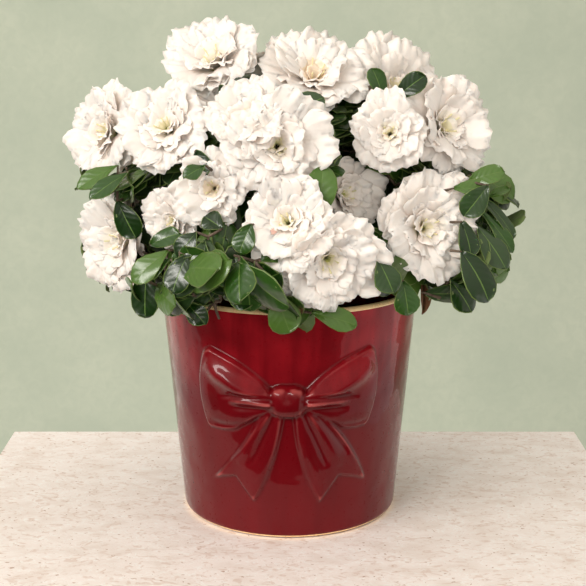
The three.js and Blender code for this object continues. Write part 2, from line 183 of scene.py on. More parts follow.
# %% [markdown]
# ## Shader groups
#
# Two effects come back in nearly every finish of this object: a soft clouding of the colour, and
# a fine unevenness of the skin that only light shows. Each is built once as a node group with
# named inputs, and each material places it with its own numbers.


# %% Clouding and skin, as node groups
def node(tree, kind, place_at=(0, 0), **settings):
    made = tree.nodes.new(kind)
    made.location = place_at
    for key, value in settings.items():
        setattr(made, key, value)
    return made


def wire(tree, *joins):
    """Joins nodes. Each join names a node and its output, then a node and its input."""
    for source, output, target, entry in joins:
        tree.links.new(source.outputs[output], target.inputs[entry])


def new_group(name, inputs, outputs):
    """A shader node group with named inputs (name, kind, value) and outputs (name, kind)."""
    tree = bpy.data.node_groups.new(name, "ShaderNodeTree")
    for label, kind, value in inputs:
        tree.interface.new_socket(label, in_out="INPUT", socket_type=kind).default_value = value
    for label, kind in outputs:
        tree.interface.new_socket(label, in_out="OUTPUT", socket_type=kind)
    return tree, node(tree, "NodeGroupInput", (-700, 0)), node(tree, "NodeGroupOutput", (500, 0))


def make_clouding():
    """Mixes two colours by soft clouds of a given size in metres."""
    tree, given, result = new_group(
        "Clouding",
        [("Colour", "NodeSocketColor", (1, 1, 1, 1)),
         ("Cloud colour", "NodeSocketColor", (0, 0, 0, 1)),
         ("Size", "NodeSocketFloat", 0.01), ("Amount", "NodeSocketFloat", 0.5),
         ("Squeeze", "NodeSocketVector", (1, 1, 1)),
         ("Start", "NodeSocketFloat", 0.35), ("Full", "NodeSocketFloat", 0.68),
         ("Twist", "NodeSocketFloat", 0.0)],
        [("Colour", "NodeSocketColor"), ("Mask", "NodeSocketFloat")])
    where = node(tree, "ShaderNodeTexCoord", (-700, -300))
    scale = node(tree, "ShaderNodeMath", (-500, -100), operation="DIVIDE")
    scale.inputs[0].default_value = 1.0
    clouds = node(tree, "ShaderNodeTexNoise", (-300, -200))
    clouds.inputs["Detail"].default_value = 4.0
    sharpen = node(tree, "ShaderNodeMapRange", (-100, -200))
    squeeze = node(tree, "ShaderNodeVectorMath", (-500, -350), operation="MULTIPLY")
    amount = node(tree, "ShaderNodeMath", (100, -200), operation="MULTIPLY")
    mix = node(tree, "ShaderNodeMix", (300, 0), data_type="RGBA")
    wire(tree, (given, "Size", scale, 1), (where, "Object", squeeze, 0),
               (given, "Squeeze", squeeze, 1), (squeeze, 0, clouds, "Vector"),
               (scale, 0, clouds, "Scale"), (given, "Twist", clouds, "Distortion"),
               (clouds, 0, sharpen, 0), (given, "Start", sharpen, "From Min"),
               (given, "Full", sharpen, "From Max"), (sharpen, 0, amount, 0),
               (given, "Amount", amount, 1), (amount, 0, mix, 0), (given, "Colour", mix, 6),
               (given, "Cloud colour", mix, 7), (mix, 2, result, "Colour"),
               (amount, 0, result, "Mask"))
    return tree


def make_skin():
    """The height of a slow swell and a fine grain, each with its own size in metres."""
    tree, given, result = new_group(
        "Uneven skin",
        [("Swell size", "NodeSocketFloat", 0.02), ("Swell", "NodeSocketFloat", 1.0),
         ("Grain size", "NodeSocketFloat", 0.001), ("Grain", "NodeSocketFloat", 0.1)],
        [("Height", "NodeSocketFloat"), ("Grain", "NodeSocketFloat")])
    where = node(tree, "ShaderNodeTexCoord", (-700, -300))
    parts = []
    for i, (size, strength) in enumerate([("Swell size", "Swell"), ("Grain size", "Grain")]):
        scale = node(tree, "ShaderNodeMath", (-500, -250 * i), operation="DIVIDE")
        scale.inputs[0].default_value = 1.0
        wave = node(tree, "ShaderNodeTexNoise", (-300, -250 * i))
        wave.inputs["Detail"].default_value = 2.0
        amount = node(tree, "ShaderNodeMath", (-100, -250 * i), operation="MULTIPLY")
        wire(tree, (given, size, scale, 1), (where, "Object", wave, "Vector"),
                   (scale, 0, wave, "Scale"), (wave, 0, amount, 0),
                   (given, strength, amount, 1))
        parts.append((wave, amount))
    total = node(tree, "ShaderNodeMath", (200, 0), operation="ADD")
    wire(tree, (parts[0][1], 0, total, 0), (parts[1][1], 0, total, 1),
               (total, 0, result, "Height"), (parts[1][0], 0, result, "Grain"))
    return tree


CLOUDING, SKIN = make_clouding(), make_skin()


def new_material(name, colour, roughness, **more):
    """A material with its Principled BSDF, and the plain numbers set on the shader's own sockets."""
    material = bpy.data.materials.new(name)
    material.use_nodes = True
    shader = material.node_tree.nodes["Principled BSDF"]
    shader.inputs["Base Color"].default_value = (*colour, 1)
    shader.inputs["Roughness"].default_value = roughness
    for socket, value in more.items():
        shader.inputs[socket.replace("_", " ")].default_value = value
    return material, material.node_tree, shader


def use_group(tree, group, **values):
    placed = node(tree, "ShaderNodeGroup", (-500, 0), node_tree=group)
    for socket, value in values.items():
        placed.inputs[socket.replace("_", " ")].default_value = value
    return placed


def between(tree, place_at, low, high):
    """0 at the low value, 1 at the high one, and a straight slope between."""
    made = node(tree, "ShaderNodeMapRange", place_at)
    made.inputs["From Min"].default_value = low
    made.inputs["From Max"].default_value = high
    return made


def blend(tree, place_at, colour):
    """A mix of the colour that comes in and this one."""
    made = node(tree, "ShaderNodeMix", place_at, data_type="RGBA")
    made.inputs[7].default_value = (*colour, 1)
    return made


def uneven(tree, shader, height, distance):
    """Feeds a height to the shader's normal through a bump. distance is in metres."""
    bump = node(tree, "ShaderNodeBump", (-200, -400))
    bump.inputs["Distance"].default_value = distance
    tree.links.new(height, bump.inputs["Height"])
    wire(tree, (bump, "Normal", shader, "Normal"))
    return bump


def roughened(tree, shader, mask, smooth_value, rough_value):
    """Lets a mask choose between two roughnesses."""
    pick = node(tree, "ShaderNodeMapRange", (-200, -150))
    pick.inputs["To Min"].default_value = smooth_value
    pick.inputs["To Max"].default_value = rough_value
    tree.links.new(mask, pick.inputs[0])
    wire(tree, (pick, 0, shader, "Roughness"))


def clouded_material(name, base, roughness, colours, clouds, skin, depth, dull, **more):
    """Two clouded colours over an uneven skin, duller where the clouds are.

    clouds are their size and amount, skin the swell and grain with their sizes, depth the bump's
    height in metres, and dull the roughness outside and inside the clouds.
    """
    material, tree, shader = new_material(name, base, roughness, **more)
    tint = use_group(tree, CLOUDING, Colour=(*colours[0], 1), Cloud_colour=(*colours[1], 1),
                     Size=clouds[0], Amount=clouds[1])
    wire(tree, (tint, "Colour", shader, "Base Color"))
    feel = use_group(tree, SKIN, Swell_size=skin[0], Swell=skin[1], Grain_size=skin[2], Grain=skin[3])
    uneven(tree, shader, feel.outputs["Height"], depth)
    roughened(tree, shader, tint.outputs["Mask"], *dull)
    return material


# %% [markdown]
# ## The bow, as a relief on the wall
#
# The bow is pressed in the mould and then drowned in glaze, so it has no sharp edge anywhere. It
# could be built from separate ribbons, but their seams would show under a gloss. Here it is a
# height over the wall instead: outlines say where a ribbon is, strokes raise the puffs and sink
# the folds, and a few rounds of averaging melt the edges as glaze does.

# %% Outlines and strokes in wall coordinates
BOW_RADIUS = 69.0  # across is measured on a cylinder of this radius
# Each corner: across, height, and how far the edge that leaves it swells outwards.
LOOPS = {
    "left": [(-7, 88, 3.4), (-43.2, 111.6, 0.6), (-48.4, 107.5, 4.2), (-48.6, 65.6, 0.8),
             (-44.5, 63.9, 0.8), (-29.5, 65.4, -0.4), (-7, 79, 0)],
    "right": [(7, 79, -0.4), (29.5, 66.2, 0.6), (43.0, 65.4, 0.8), (46.6, 67.6, 4.0),
              (48.2, 107.5, 0.8), (44.2, 111.8, 3.6), (7, 88, 0)],
}
TAILS = {
    "left": [(-2.5, 78, 0), (-14, 80, -3.6), (-50.2, 31.2, -0.6), (-31.8, 36.6, 0),
             (-20.9, 21.9, 3.4)],
    "right": [(14, 80, 0), (1.8, 78, 3.6), (17.7, 21.8, 0), (29.1, 37.6, -0.6), (48.6, 31.4, 3.0)],
}
# Each stroke: the curve's start, middle and end, its width, and how far it raises the surface.
LOOP_STROKES = [
    ((-9, 85), (-27, 91.8), (-45, 103.2), 4.7, 4.0),  # the full upper part
    ((-9, 85.8), (-24, 86.6), (-38, 84.4), 1.5, -2.0),  # the fold's upper lip
    ((-9, 82.8), (-20, 83.4), (-32, 82.8), 1.8, 1.9),  # the small pleat in the fold
    ((-9, 80.6), (-20, 79.4), (-31, 79.4), 1.4, -1.3),  # the fold's lower lip
    ((-12, 78), (-28, 74.5), (-46, 75.5), 4.5, 0.4),  # the lower part
    ((-24, 68.4), (-35, 67.4), (-46, 68.2), 2.0, -1.3),  # the loop's hollow inside
]
TAIL_STROKES = [
    ((-7.5, 78), (-15, 60), (-22, 44), 1.6, -1.8),
    ((-13, 78), (-26, 62), (-34, 50), 1.5, -1.6),
    ((-10, 76), (-21, 60), (-29, 44), 2.4, 1.3),
    ((-4.5, 76), (-10, 54), (-19, 34), 2.2, 0.9),
    ((-17, 74), (-31, 58), (-41, 40), 2.0, 0.8),
]
KNOT = {"middle": (-0.9, 83.8), "half": (10.6, 9.0), "proud": 7.6}
# The knot's pleats: a curve beside its middle, the width, and how far it sinks the surface.
KNOT_PLEATS = [
    ((0, 94), (0, 89), (0, 84), 1.9, 1.3),
    ((-8.6, 90), (-7.8, 84), (-8.6, 77), 0.9, 0.8),
    ((8.6, 90), (7.8, 84), (8.6, 77), 0.9, 0.8),
]
TAIL_EDGE, TAIL_PUFF = 1.4, 1.7  # how high the edge stands, and the middle above it
LOOP_EDGE, LOOP_PUFF = 1.9, 2.4
EDGE_START, EDGE_FULL = -0.2, 1.3  # the edge rises between these depths inside the outline
BEAD_RISE, BEAD_WIDTH, PUFF_WIDTH = 0.45, 0.7, 4.5


def outline(corners, steps=9):
    """A closed outline from (across, height, swell) corners."""
    points = []
    for (x0, z0, swell), (x1, z1, _) in zip(corners, corners[1:] + corners[:1]):
        dx, dz = x1 - x0, z1 - z0
        length = math.hypot(dx, dz)
        for t in np.arange(steps) / steps:
            out = 4 * swell * t * (1 - t) / length
            points.append((x0 + dx * t + out * dz, z0 + dz * t - out * dx))
    return np.array(points)


def depth_inside(corners, s, z):
    """How far inside an outline each place lies, in millimetres, and below 0 outside it."""
    edge = outline(corners)
    nearest, inside = np.full(s.shape, 1e9), np.zeros(s.shape, bool)
    for (x0, z0), (x1, z1) in zip(edge, np.roll(edge, -1, axis=0)):
        dx, dz = x1 - x0, z1 - z0
        t = np.clip(((s - x0) * dx + (z - z0) * dz) / (dx * dx + dz * dz), 0, 1)
        nearest = np.minimum(nearest, np.hypot(s - x0 - t * dx, z - z0 - t * dz))
        crosses = (z0 > z) != (z1 > z)
        inside ^= crosses & (s < x0 + (z - z0) * dx / (dz if abs(dz) > 1e-9 else 1e-9))
    return np.where(inside, nearest, -nearest)


def stroke(start, middle, end, width, s, z):
    """1 along a curve through three points, fading over its width and towards its ends."""
    start, middle, end = map(np.array, (start, middle, end))
    bend = 2 * middle - (start + end) / 2
    best, at = np.full(s.shape, 1e9), np.zeros(s.shape)
    for t in np.linspace(0, 1, 30):
        x, h = (1 - t) ** 2 * start + 2 * t * (1 - t) * bend + t * t * end
        away = np.hypot(s - x, z - h)
        at = np.where(away < best, t, at)
        best = np.minimum(best, away)
    taper = np.clip(4 * (1 - at), 0, 1) ** 0.7
    return np.exp(-((best / width) ** 2)) * taper


def ribbon(corners, strokes, side, edge, puff, s, z):
    """The height of one ribbon: a steep rounded side, a bead along the edge, a puff, and folds."""
    depth = depth_inside(corners, s, z)
    height = edge * smooth(depth, EDGE_START, EDGE_FULL)
    height += puff * (1 - np.exp(-np.clip(depth, 0, None) / PUFF_WIDTH))
    height += BEAD_RISE * np.exp(-(((depth - EDGE_FULL) / BEAD_WIDTH) ** 2))
    mirror = 1 if side == "left" else -1
    inner = smooth(depth, 0.3, 2.2)
    for start, middle, end, width, rise in strokes:
        turned = [(mirror * x, h) for x, h in (start, middle, end)]
        height += rise * inner * stroke(*turned, width, s, z)
    return np.where(depth > EDGE_START, np.maximum(height, 0), 0)


def bow_height(s, z):
    total = np.zeros(s.shape)
    for side in ("left", "right"):
        tail = ribbon(TAILS[side], TAIL_STROKES, side, TAIL_EDGE, TAIL_PUFF, s, z)
        total = np.maximum(total, tail)
    for side in ("left", "right"):
        loop = ribbon(LOOPS[side], LOOP_STROKES, side, LOOP_EDGE, LOOP_PUFF, s, z)
        total = np.maximum(total, loop)
    (x, h), (wide, high) = KNOT["middle"], KNOT["half"]
    share = np.clip(np.abs((s - x) / wide) ** 2.8 + np.abs((z - h) / high) ** 2.8, 0, 1)
    knot = KNOT["proud"] * (1 - share) ** 0.42
    for start, middle, end, width, sink in KNOT_PLEATS:
        curve = [(x + across, level) for across, level in (start, middle, end)]
        knot -= sink * stroke(*curve, width, s, z) * (share < 1)
    return np.maximum(total, np.maximum(knot, 0))


def melt(height, rounds):
    """Averages each place with its neighbours, as glaze evens out an edge."""
    for _ in range(rounds):
        for axis in (0, 1):
            height = (np.roll(height, 1, axis) + 2 * height + np.roll(height, -1, axis)) / 4
    return height


# %% [markdown]
# ## The pot's body
#
# A potter would throw or slip-cast this: a straight taper, a rounded lip and a rounded foot. The
# mesh is one turned skin, with its columns and rows close together only where the bow is. The
# glaze runs thin over the raised edges and pools in the hollows, so the height's own curvature is
# kept on the mesh as a number that the glaze reads.

# %% Turn the pot and raise the bow
FINE = 0.66  # grid step over the bow, in millimetres
BOW_REACH = (-56.0, 56.0, 19.0, 116.0)  # across from and to, height from and to
FOOT_LINE = (0.3, 2.1)  # the heights between which the foot is gilded
MELT_ROUNDS, CURVE_ROUNDS = 2, 6  # to melt the relief, and then to find where it curves


def wall_radius(height):
    return FOOT_RADIUS + (RIM_RADIUS - FOOT_RADIUS) * height / POT_HEIGHT


def fine_and_coarse(low, fine_low, fine_high, high, coarse):
    """Steps of FINE between two values, and coarser steps on both sides of them."""
    before = np.linspace(low, fine_low, max(2, round((fine_low - low) / coarse)))[:-1]
    middle = np.arange(fine_low, fine_high, FINE)
    after = np.linspace(fine_high, high, max(2, round((high - fine_high) / coarse)))
    return np.concatenate([before, middle, after])


def turned_profile():
    """(radius, height, kind) rows from the middle of the underside to the middle of the floor."""
    lip = WALL / 2
    rows = [(0.01, 0.0, "foot"), (30.0, 0.0, "foot"), (55.0, 0.0, "foot")]
    for a in np.linspace(0, math.pi / 2, 7):
        rows.append((wall_radius(FOOT_ROUND) - FOOT_ROUND * (1 - math.sin(a)),
                     FOOT_ROUND * (1 - math.cos(a)), "foot"))
    heights = fine_and_coarse(FOOT_ROUND + 1, BOW_REACH[2], BOW_REACH[3], POT_HEIGHT - lip - 0.4, 3.0)
    rows += [(wall_radius(h), h, "wall") for h in heights]
    for a in np.linspace(0, math.pi, 11):
        rows.append((wall_radius(POT_HEIGHT - lip) - lip + lip * math.cos(a),
                     POT_HEIGHT - lip + lip * math.sin(a), "lip"))
    inside = [(wall_radius(h) - WALL, h, "inside") for h in np.linspace(POT_HEIGHT - 5, FLOOR + 3, 12)]
    return rows + inside + [(wall_radius(FLOOR) - WALL - 4, FLOOR, "inside"), (0.01, FLOOR, "inside")]


def turn_pot():
    rows = turned_profile()
    reach = BOW_REACH[1] / BOW_RADIUS
    angles = fine_and_coarse(-math.pi * BOW_RADIUS, -reach * BOW_RADIUS, reach * BOW_RADIUS,
                             math.pi * BOW_RADIUS, 3.6)[:-1] / BOW_RADIUS
    radius, height = (np.array([row[i] for row in rows])[:, None] for i in (0, 1))
    on_wall = np.array([row[2] == "wall" for row in rows])[:, None]
    s = np.broadcast_to(angles[None, :] * BOW_RADIUS, (len(rows), len(angles)))
    z = np.broadcast_to(height, s.shape)
    relief = np.where(on_wall, melt(bow_height(s, z), MELT_ROUNDS), 0)
    curve = relief - melt(relief, CURVE_ROUNDS)
    r = radius + relief
    points = np.stack([r * np.sin(angles), -r * np.cos(angles), z], 2)
    gilt = [kind == "lip" or (kind == "foot" and FOOT_LINE[0] < h < FOOT_LINE[1]) for _, h, kind in rows]
    finish = np.array([int(a and b) for a, b in zip(gilt, gilt[1:])])
    heap = Heap()
    heap.add(points.reshape(-1, 3), grid_faces(len(rows), len(angles), closed=True),
             np.repeat(finish, len(angles)))
    print("bow stands", round(float(relief.max()), 1), "mm proud")
    return heap, curve.ravel()


pot_heap, glaze_curve = turn_pot()

# %% [markdown]
# ## Red glaze and gilding
#
# The glaze is a dark, clear red over a pale body, so it is a deep base colour under a glossy
# coat. Over edges it is thin and the body shines through as a dusty rose, in hollows it is almost
# black red. Towards the rim the red is painted brighter, as painted light on the upper wall. Poured
# glaze is never quite flat, and the slow swell in its normal bends every reflection a little. The
# rim is brushed with gold lustre, a thin film. It is set more as a warm colour than as a metal, so
# its brightness is partly painted highlight.


# %% Glaze and gold materials
def make_glaze():
    """Deep red, painted brighter towards the rim as painted light, with clouds, runs, thin edges and
    pools.
    """
    material, tree, shader = new_material(
        "red_glaze", (0.2, 0.004, 0.008), 0.3, Specular_IOR_Level=0.1, Coat_Weight=0.85,
        Coat_Roughness=0.03, Coat_IOR=1.27)
    where = node(tree, "ShaderNodeTexCoord", (-1300, 0))
    split = node(tree, "ShaderNodeSeparateXYZ", (-1150, 0))
    # Painted light: the body colour brightens from 82 mm up to the rim, standing in for light on the
    # upper wall.
    upper = between(tree, (-1000, 0), 0.082, 0.13)  # heights in metres
    body = blend(tree, (-850, 0), (0.4, 0.011, 0.019))
    body.inputs[6].default_value = (0.126, 0.0022, 0.005, 1)
    clouds = use_group(tree, CLOUDING, Cloud_colour=(0.105, 0.0014, 0.0036, 1), Size=0.03, Amount=0.55)
    runs = use_group(tree, CLOUDING, Cloud_colour=(0.092, 0.001, 0.003, 1), Size=0.012, Amount=0.5,
                     Squeeze=(1, 1, 0.1), Start=0.45, Full=0.62)
    curve = node(tree, "ShaderNodeAttribute", (-700, 200), attribute_name="glaze_curve")
    thin = between(tree, (-500, 300), 0.25, 0.75)  # millimetres above the melted surface
    thick = between(tree, (-500, 100), -0.12, -0.7)
    rose = blend(tree, (-300, 200), (0.4, 0.075, 0.07))
    pool = blend(tree, (-100, 200), (0.075, 0.001, 0.0025))
    wire(tree, (curve, "Fac", thin, 0), (curve, "Fac", thick, 0), (where, "Object", split, 0),
               (split, 2, upper, 0), (upper, 0, body, 0), (body, 2, clouds, "Colour"),
               (clouds, "Colour", runs, "Colour"), (runs, "Colour", rose, 6),
               (thin, 0, rose, 0), (rose, 2, pool, 6), (thick, 0, pool, 0),
               (pool, 2, shader, "Base Color"))
    skin = use_group(tree, SKIN, Swell_size=0.028, Swell=1.0, Grain_size=0.0022, Grain=0.0015)
    bump = uneven(tree, shader, skin.outputs["Height"], 0.0016)
    wire(tree, (bump, "Normal", shader, "Coat Normal"))
    roughened(tree, shader, skin.outputs["Grain"], 0.24, 0.34)
    return material


# Painted highlight: the gold is mostly diffuse colour, so the rim shows bright where a metal would
# mirror the shade under the leaves.
GOLD = clouded_material(
    "gold_lustre", (0.86, 0.6, 0.3), 0.3, colours=((1.0, 0.75, 0.41), (0.85, 0.5, 0.22)),
    clouds=(0.004, 0.5), skin=(0.006, 0.6, 0.0012, 0.05), depth=0.0003, dull=(0.2, 0.4), Metallic=0.15)

pot_piece = make_piece("pot_glazed", pot_heap, [make_glaze(), GOLD], ["pot"])
curve_on_mesh = pot_piece.data.attributes.new("glaze_curve", "FLOAT", "POINT")
curve_on_mesh.data.foreach_set("value", glaze_curve.astype(np.float32))

# %% [markdown]
# ## Peat
#
# The root ball fills the pot to two fingers below the rim. Peat is crumbs on crumbs. A flat disc
# with a bump would read as felt where it shows between the leaves, so the surface is a real height
# field of three sizes of lumps, finished almost black brown and quite dull.


# %% Crumbly peat
PEAT = clouded_material(
    "moist_peat", (0.03, 0.017, 0.01), 0.95, colours=((0.045, 0.026, 0.015), (0.012, 0.007, 0.004)),
    clouds=(0.003, 0.9), skin=(0.003, 1.0, 0.0006, 0.5), depth=0.0012, dull=(0.8, 1.0))
LUMPS = ((14, 2.2), (5, 1.3), (2, 0.6))  # size and rise of each kind of lump
PEAT_GAP, PEAT_RINGS, PEAT_SIDES = 0.5, 44, 120


def peat_top(radius, angle, inside):
    """A place on the crumbly top, which falls off a little towards the wall of the pot."""
    x, y = radius * math.cos(angle), radius * math.sin(angle)
    height = SOIL_LEVEL - 1.2 - 3.4 * (radius / inside) ** 3
    for size, rise in LUMPS:
        height += rise * noise.noise(Vector((x / size, y / size, size)))
    return x, y, height


def make_peat():
    inside = wall_radius(SOIL_LEVEL - 5) - WALL - PEAT_GAP
    angles = np.linspace(0, 2 * math.pi, PEAT_SIDES + 1)[:-1]
    rings = np.linspace(0.01, inside, PEAT_RINGS)
    top = np.array([[peat_top(r, a, inside) for a in angles] for r in rings])
    lower = [(wall_radius(h) - WALL - PEAT_GAP, h) for h in np.linspace(SOIL_LEVEL - 10, FLOOR + 3, 6)]
    lower += [(wall_radius(FLOOR) - WALL - 6.2, FLOOR + 0.4), (0.01, FLOOR + 0.4)]
    side = np.array([[(r * math.cos(a), r * math.sin(a), h) for a in angles] for r, h in lower])
    points = np.concatenate([top, side])[::-1]
    heap = Heap()
    heap.add(points.reshape(-1, 3), grid_faces(len(points), len(angles), closed=True), 0)
    make_piece("peat", heap, [PEAT], ["soil"])


make_peat()

# %% [markdown]
# ## The crown's plan
#
# Each mass of the crown is one bough's share: its flowers, the leaf tufts round them and the wood
# that carries both. A flower is told by where it sits round the pot's axis, how wide it is and
# which way it looks. The back isn't drawn flower by flower. It repeats one pattern, a low flower
# and a high one to each mass, with a little sway from the dice.


# %% Masses and their flowers
def bloom(azimuth, out, height, width, turn, tilt, heart="lime", blushes=0):
    return {"at": place(azimuth, out, height), "width": width, "look": facing(turn, tilt),
            "heart": heart, "blushes": blushes}


MASSES = [
    {"name": "top_left", "blooms": [bloom(-70, 45, 266, 58, -18, 42)]},
    {"name": "left_shoulder",
     "blooms": [bloom(-82, 106, 225, 54, -38, 14), bloom(-53, 84, 228, 56, -18, 25)]},
    {"name": "front_centre", "blooms": [bloom(-3, 82, 227, 70, 0, 22)]},
    {"name": "top_right",
     "blooms": [bloom(35, 25, 258, 62, 12, 48, "peach"), bloom(94, 62, 254, 52, 40, 44)]},
    {"name": "right_shoulder",
     "blooms": [bloom(43, 78, 228, 48, -5, 15), bloom(76, 98, 224, 58, 42, 18)]},
    {"name": "front_left",
     "blooms": [bloom(-29, 85, 200, 46, -10, 10, "peach"), bloom(-44, 95, 182, 38, -36, -4)]},
    {"name": "low_left", "blooms": [bloom(-68, 104, 166, 54, -42, 2)]},
    {"name": "front_low", "blooms": [bloom(7, 93, 175, 70, 3, 8, blushes=1)]},
    {"name": "low_right", "blooms": [bloom(52, 95, 177, 60, 22, 12), bloom(39, 60, 194, 42, 50, 20)]},
    {"name": "top_back", "blooms": [bloom(190, 36, 253, 56, 185, 66)]},
]
for i in range(5):
    roll = dice(40 + i)
    azimuth = 112 + 34 * i
    sway = 8 * (next(roll) - 0.5)
    low = bloom(azimuth + sway, 98, 178 + 16 * next(roll), 52 + 12 * next(roll), azimuth, 8)
    high = bloom(azimuth - sway, 74, 232 + 10 * next(roll), 50 + 10 * next(roll), azimuth, 38)
    MASSES.append({"name": f"back_{i + 1}", "blooms": [low, high]})

# A plane divides each two masses, nearer to the smaller one, and each keeps off it by a gap.
MASS_GAP = 0.25
for mass in MASSES:
    middle = np.mean([b["at"] for b in mass["blooms"]], axis=0)
    mass["heart"] = CROWN_HEART + 0.8 * (middle - CROWN_HEART)
    mass["reach"] = max(np.linalg.norm(b["at"] - middle) + b["width"] / 2 for b in mass["blooms"])
for mass in MASSES:
    others = [other for other in MASSES if other is not mass]
    mass["walls"] = np.array([unit(other["heart"] - mass["heart"]) for other in others])
    borders = [mass["heart"] + (other["heart"] - mass["heart"]) * mass["reach"]
               / (mass["reach"] + other["reach"]) for other in others]
    mass["offsets"] = np.einsum("ij,ij->i", mass["walls"], np.array(borders)) - MASS_GAP
# Where the eye rests, a mass's flowers are drawn more closely than its solid: shifted a little, or
# as two.
DRAWN = {
    "left_shoulder": [bloom(-82, 106, 225, 54, -38, 14), bloom(-53, 84, 231, 54, -18, 25)],
    "front_centre": [bloom(-4, 84, 224, 55, 2, 10), bloom(-17, 78, 238, 48, -22, 34)],
    "top_right": [bloom(35, 25, 258, 62, 12, 48, "peach"), bloom(90, 60, 249, 58, 35, 34)],
    "right_shoulder": [bloom(43, 78, 228, 42, -5, 15), bloom(73, 92, 229, 62, 34, 18)],
    "front_left": [bloom(-28, 85, 201, 41, -10, 10, "peach"), bloom(-43, 92, 182, 34, -30, -2)],
    "front_low": [bloom(-1, 93, 187, 50, -14, 22, blushes=1), bloom(12, 98, 166, 56, 12, -6)],
    "low_right": [bloom(52, 95, 177, 60, 22, 12), bloom(34, 57, 194, 42, 40, 20)],
}
DRAWN["back_5"] = [MASSES[-1]["blooms"][0], bloom(247, 72, 220, 46, 248, 30)]
for mass in MASSES:
    mass["flowers"] = DRAWN.get(mass["name"], mass["blooms"])
BLOOMS = [b for mass in MASSES for b in mass["flowers"]]
print(len(MASSES), "masses with", len(BLOOMS), "flowers")


# %% Where a leaf or twig may be
LOWEST_FORK, LOW_HEART, HEART_SPAN = 121.0, 160.0, 75.0
# A flower's bowl, and the space before its face that widens as it goes, in flower radii.
BOWL_WIDTH, SPACE_SPREAD, SPACE_DEPTH = 0.92, 0.3, 2.2


def room(mass, points):
    """How far inside its mass's space each point lies, below 0 outside."""
    return (mass["offsets"] - np.atleast_2d(points) @ mass["walls"].T).min(axis=1)


def crown_share(points):
    """1 on the crown's outline, 0 at its heart."""
    p = np.atleast_2d(points) - CROWN_HEART
    tall = np.where(p[:, 2] > 0, CROWN_TOP - CROWN_HEART[2], CROWN_HEART[2] - CROWN_FOOT)
    side = np.hypot(p[:, 0], p[:, 1]) / (CROWN_WIDTH / 2)
    return (side**CROWN_BULK + (np.abs(p[:, 2]) / tall) ** CROWN_BULK) ** (1 / CROWN_BULK)


def trunk_point(height):
    t = (height - SOIL_LEVEL) / (TRUNK_TOP - SOIL_LEVEL)
    return np.array([2.5 * t * t, 1.5 * t, height])


for mass in MASSES:
    rise = min(max((mass["heart"][2] - LOW_HEART) / HEART_SPAN, 0), 1)
    root = trunk_point(LOWEST_FORK + (TRUNK_TOP - 3 - LOWEST_FORK) * rise)
    top = trunk_point(TRUNK_TOP)
    tip = top + (mass["heart"] - top) * (0.5 + 0.1 * rise)
    elbow = (root + tip) / 2 - UP * 3 * (1 - rise)
    mass["bough"] = (root, elbow, tip)
LIMB_ENDS = [(a, b) for mass in MASSES for a, b in zip(mass["bough"], mass["bough"][1:])]
LIMB_ENDS.append((trunk_point(SOIL_LEVEL), trunk_point(TRUNK_TOP)))


def is_clear(points, spare):
    """True where a point is clear of the limbs, the pot and the peat."""
    p = np.atleast_2d(points)
    clear = np.ones(len(p), bool)
    for i, (a, b) in enumerate(LIMB_ENDS):
        t = np.clip(((p - a) @ (b - a)) / ((b - a) @ (b - a)), 0, 1)
        away = np.linalg.norm(p - a - t[:, None] * (b - a), axis=1)
        clear &= away > (TRUNK_RADIUS if i == len(LIMB_ENDS) - 1 else BOUGH_RADIUS) + spare
    out = np.hypot(p[:, 0], p[:, 1])
    beyond = (out > RIM_RADIUS + spare) | (p[:, 2] > POT_HEIGHT + spare)
    within = (out < RIM_RADIUS - WALL - 3 - spare) & (p[:, 2] > SOIL_LEVEL + spare)
    return clear & (beyond | within)


def in_flower(points, swell=1.0):
    """True where a point is in a flower's bowl or in the widening space before its face."""
    p = np.atleast_2d(points)
    taken = np.zeros(len(p), bool)
    for b in BLOOMS:
        r = b["width"] / 2 * swell
        ahead = ((p - b["at"]) @ b["look"]) / r
        away = np.linalg.norm(p - b["at"] - (ahead * r)[:, None] * b["look"], axis=1) / r
        beside = away < BOWL_WIDTH + SPACE_SPREAD * np.clip(ahead, 0, None)
        taken |= beside & (ahead > 0.5 * away - 0.5) & (ahead < SPACE_DEPTH)
    return taken


# %% [markdown]
# ## Trunk and boughs
#
# An old azalea has a short trunk with flaky, ridged bark, flared where it meets the peat, and
# boughs that leave it in tiers. A bent tube gives a limb its line. Pushing its skin in and out by
# noise that is stretched along the limb makes the ridges, so they catch the light from any side.

# %% Limbs with ridged bark
TRUNK_SIDES, LIMB_SIDES, LIMB_RINGS, TWIG_SIDES = 28, 18, 34, 6
TRUNK_BARK, BOUGH_BARK = 0.22, 0.24


def bend_through(root, elbow, tip, steps):
    bend = 2 * elbow - (root + tip) / 2
    t = np.linspace(0, 1, steps)[:, None]
    return (1 - t) ** 2 * root + 2 * t * (1 - t) * bend + t * t * tip


def ridges(angle, along, seed):
    """Broad and fine ridges round a limb: noise that is stretched along it."""
    x, y = math.cos(angle), math.sin(angle)
    broad = noise.noise(Vector((2.2 * x + seed, 2.2 * y, along / 9)))
    return broad + 0.6 * noise.noise(Vector((6 * x, 6 * y + seed, along / 3)))


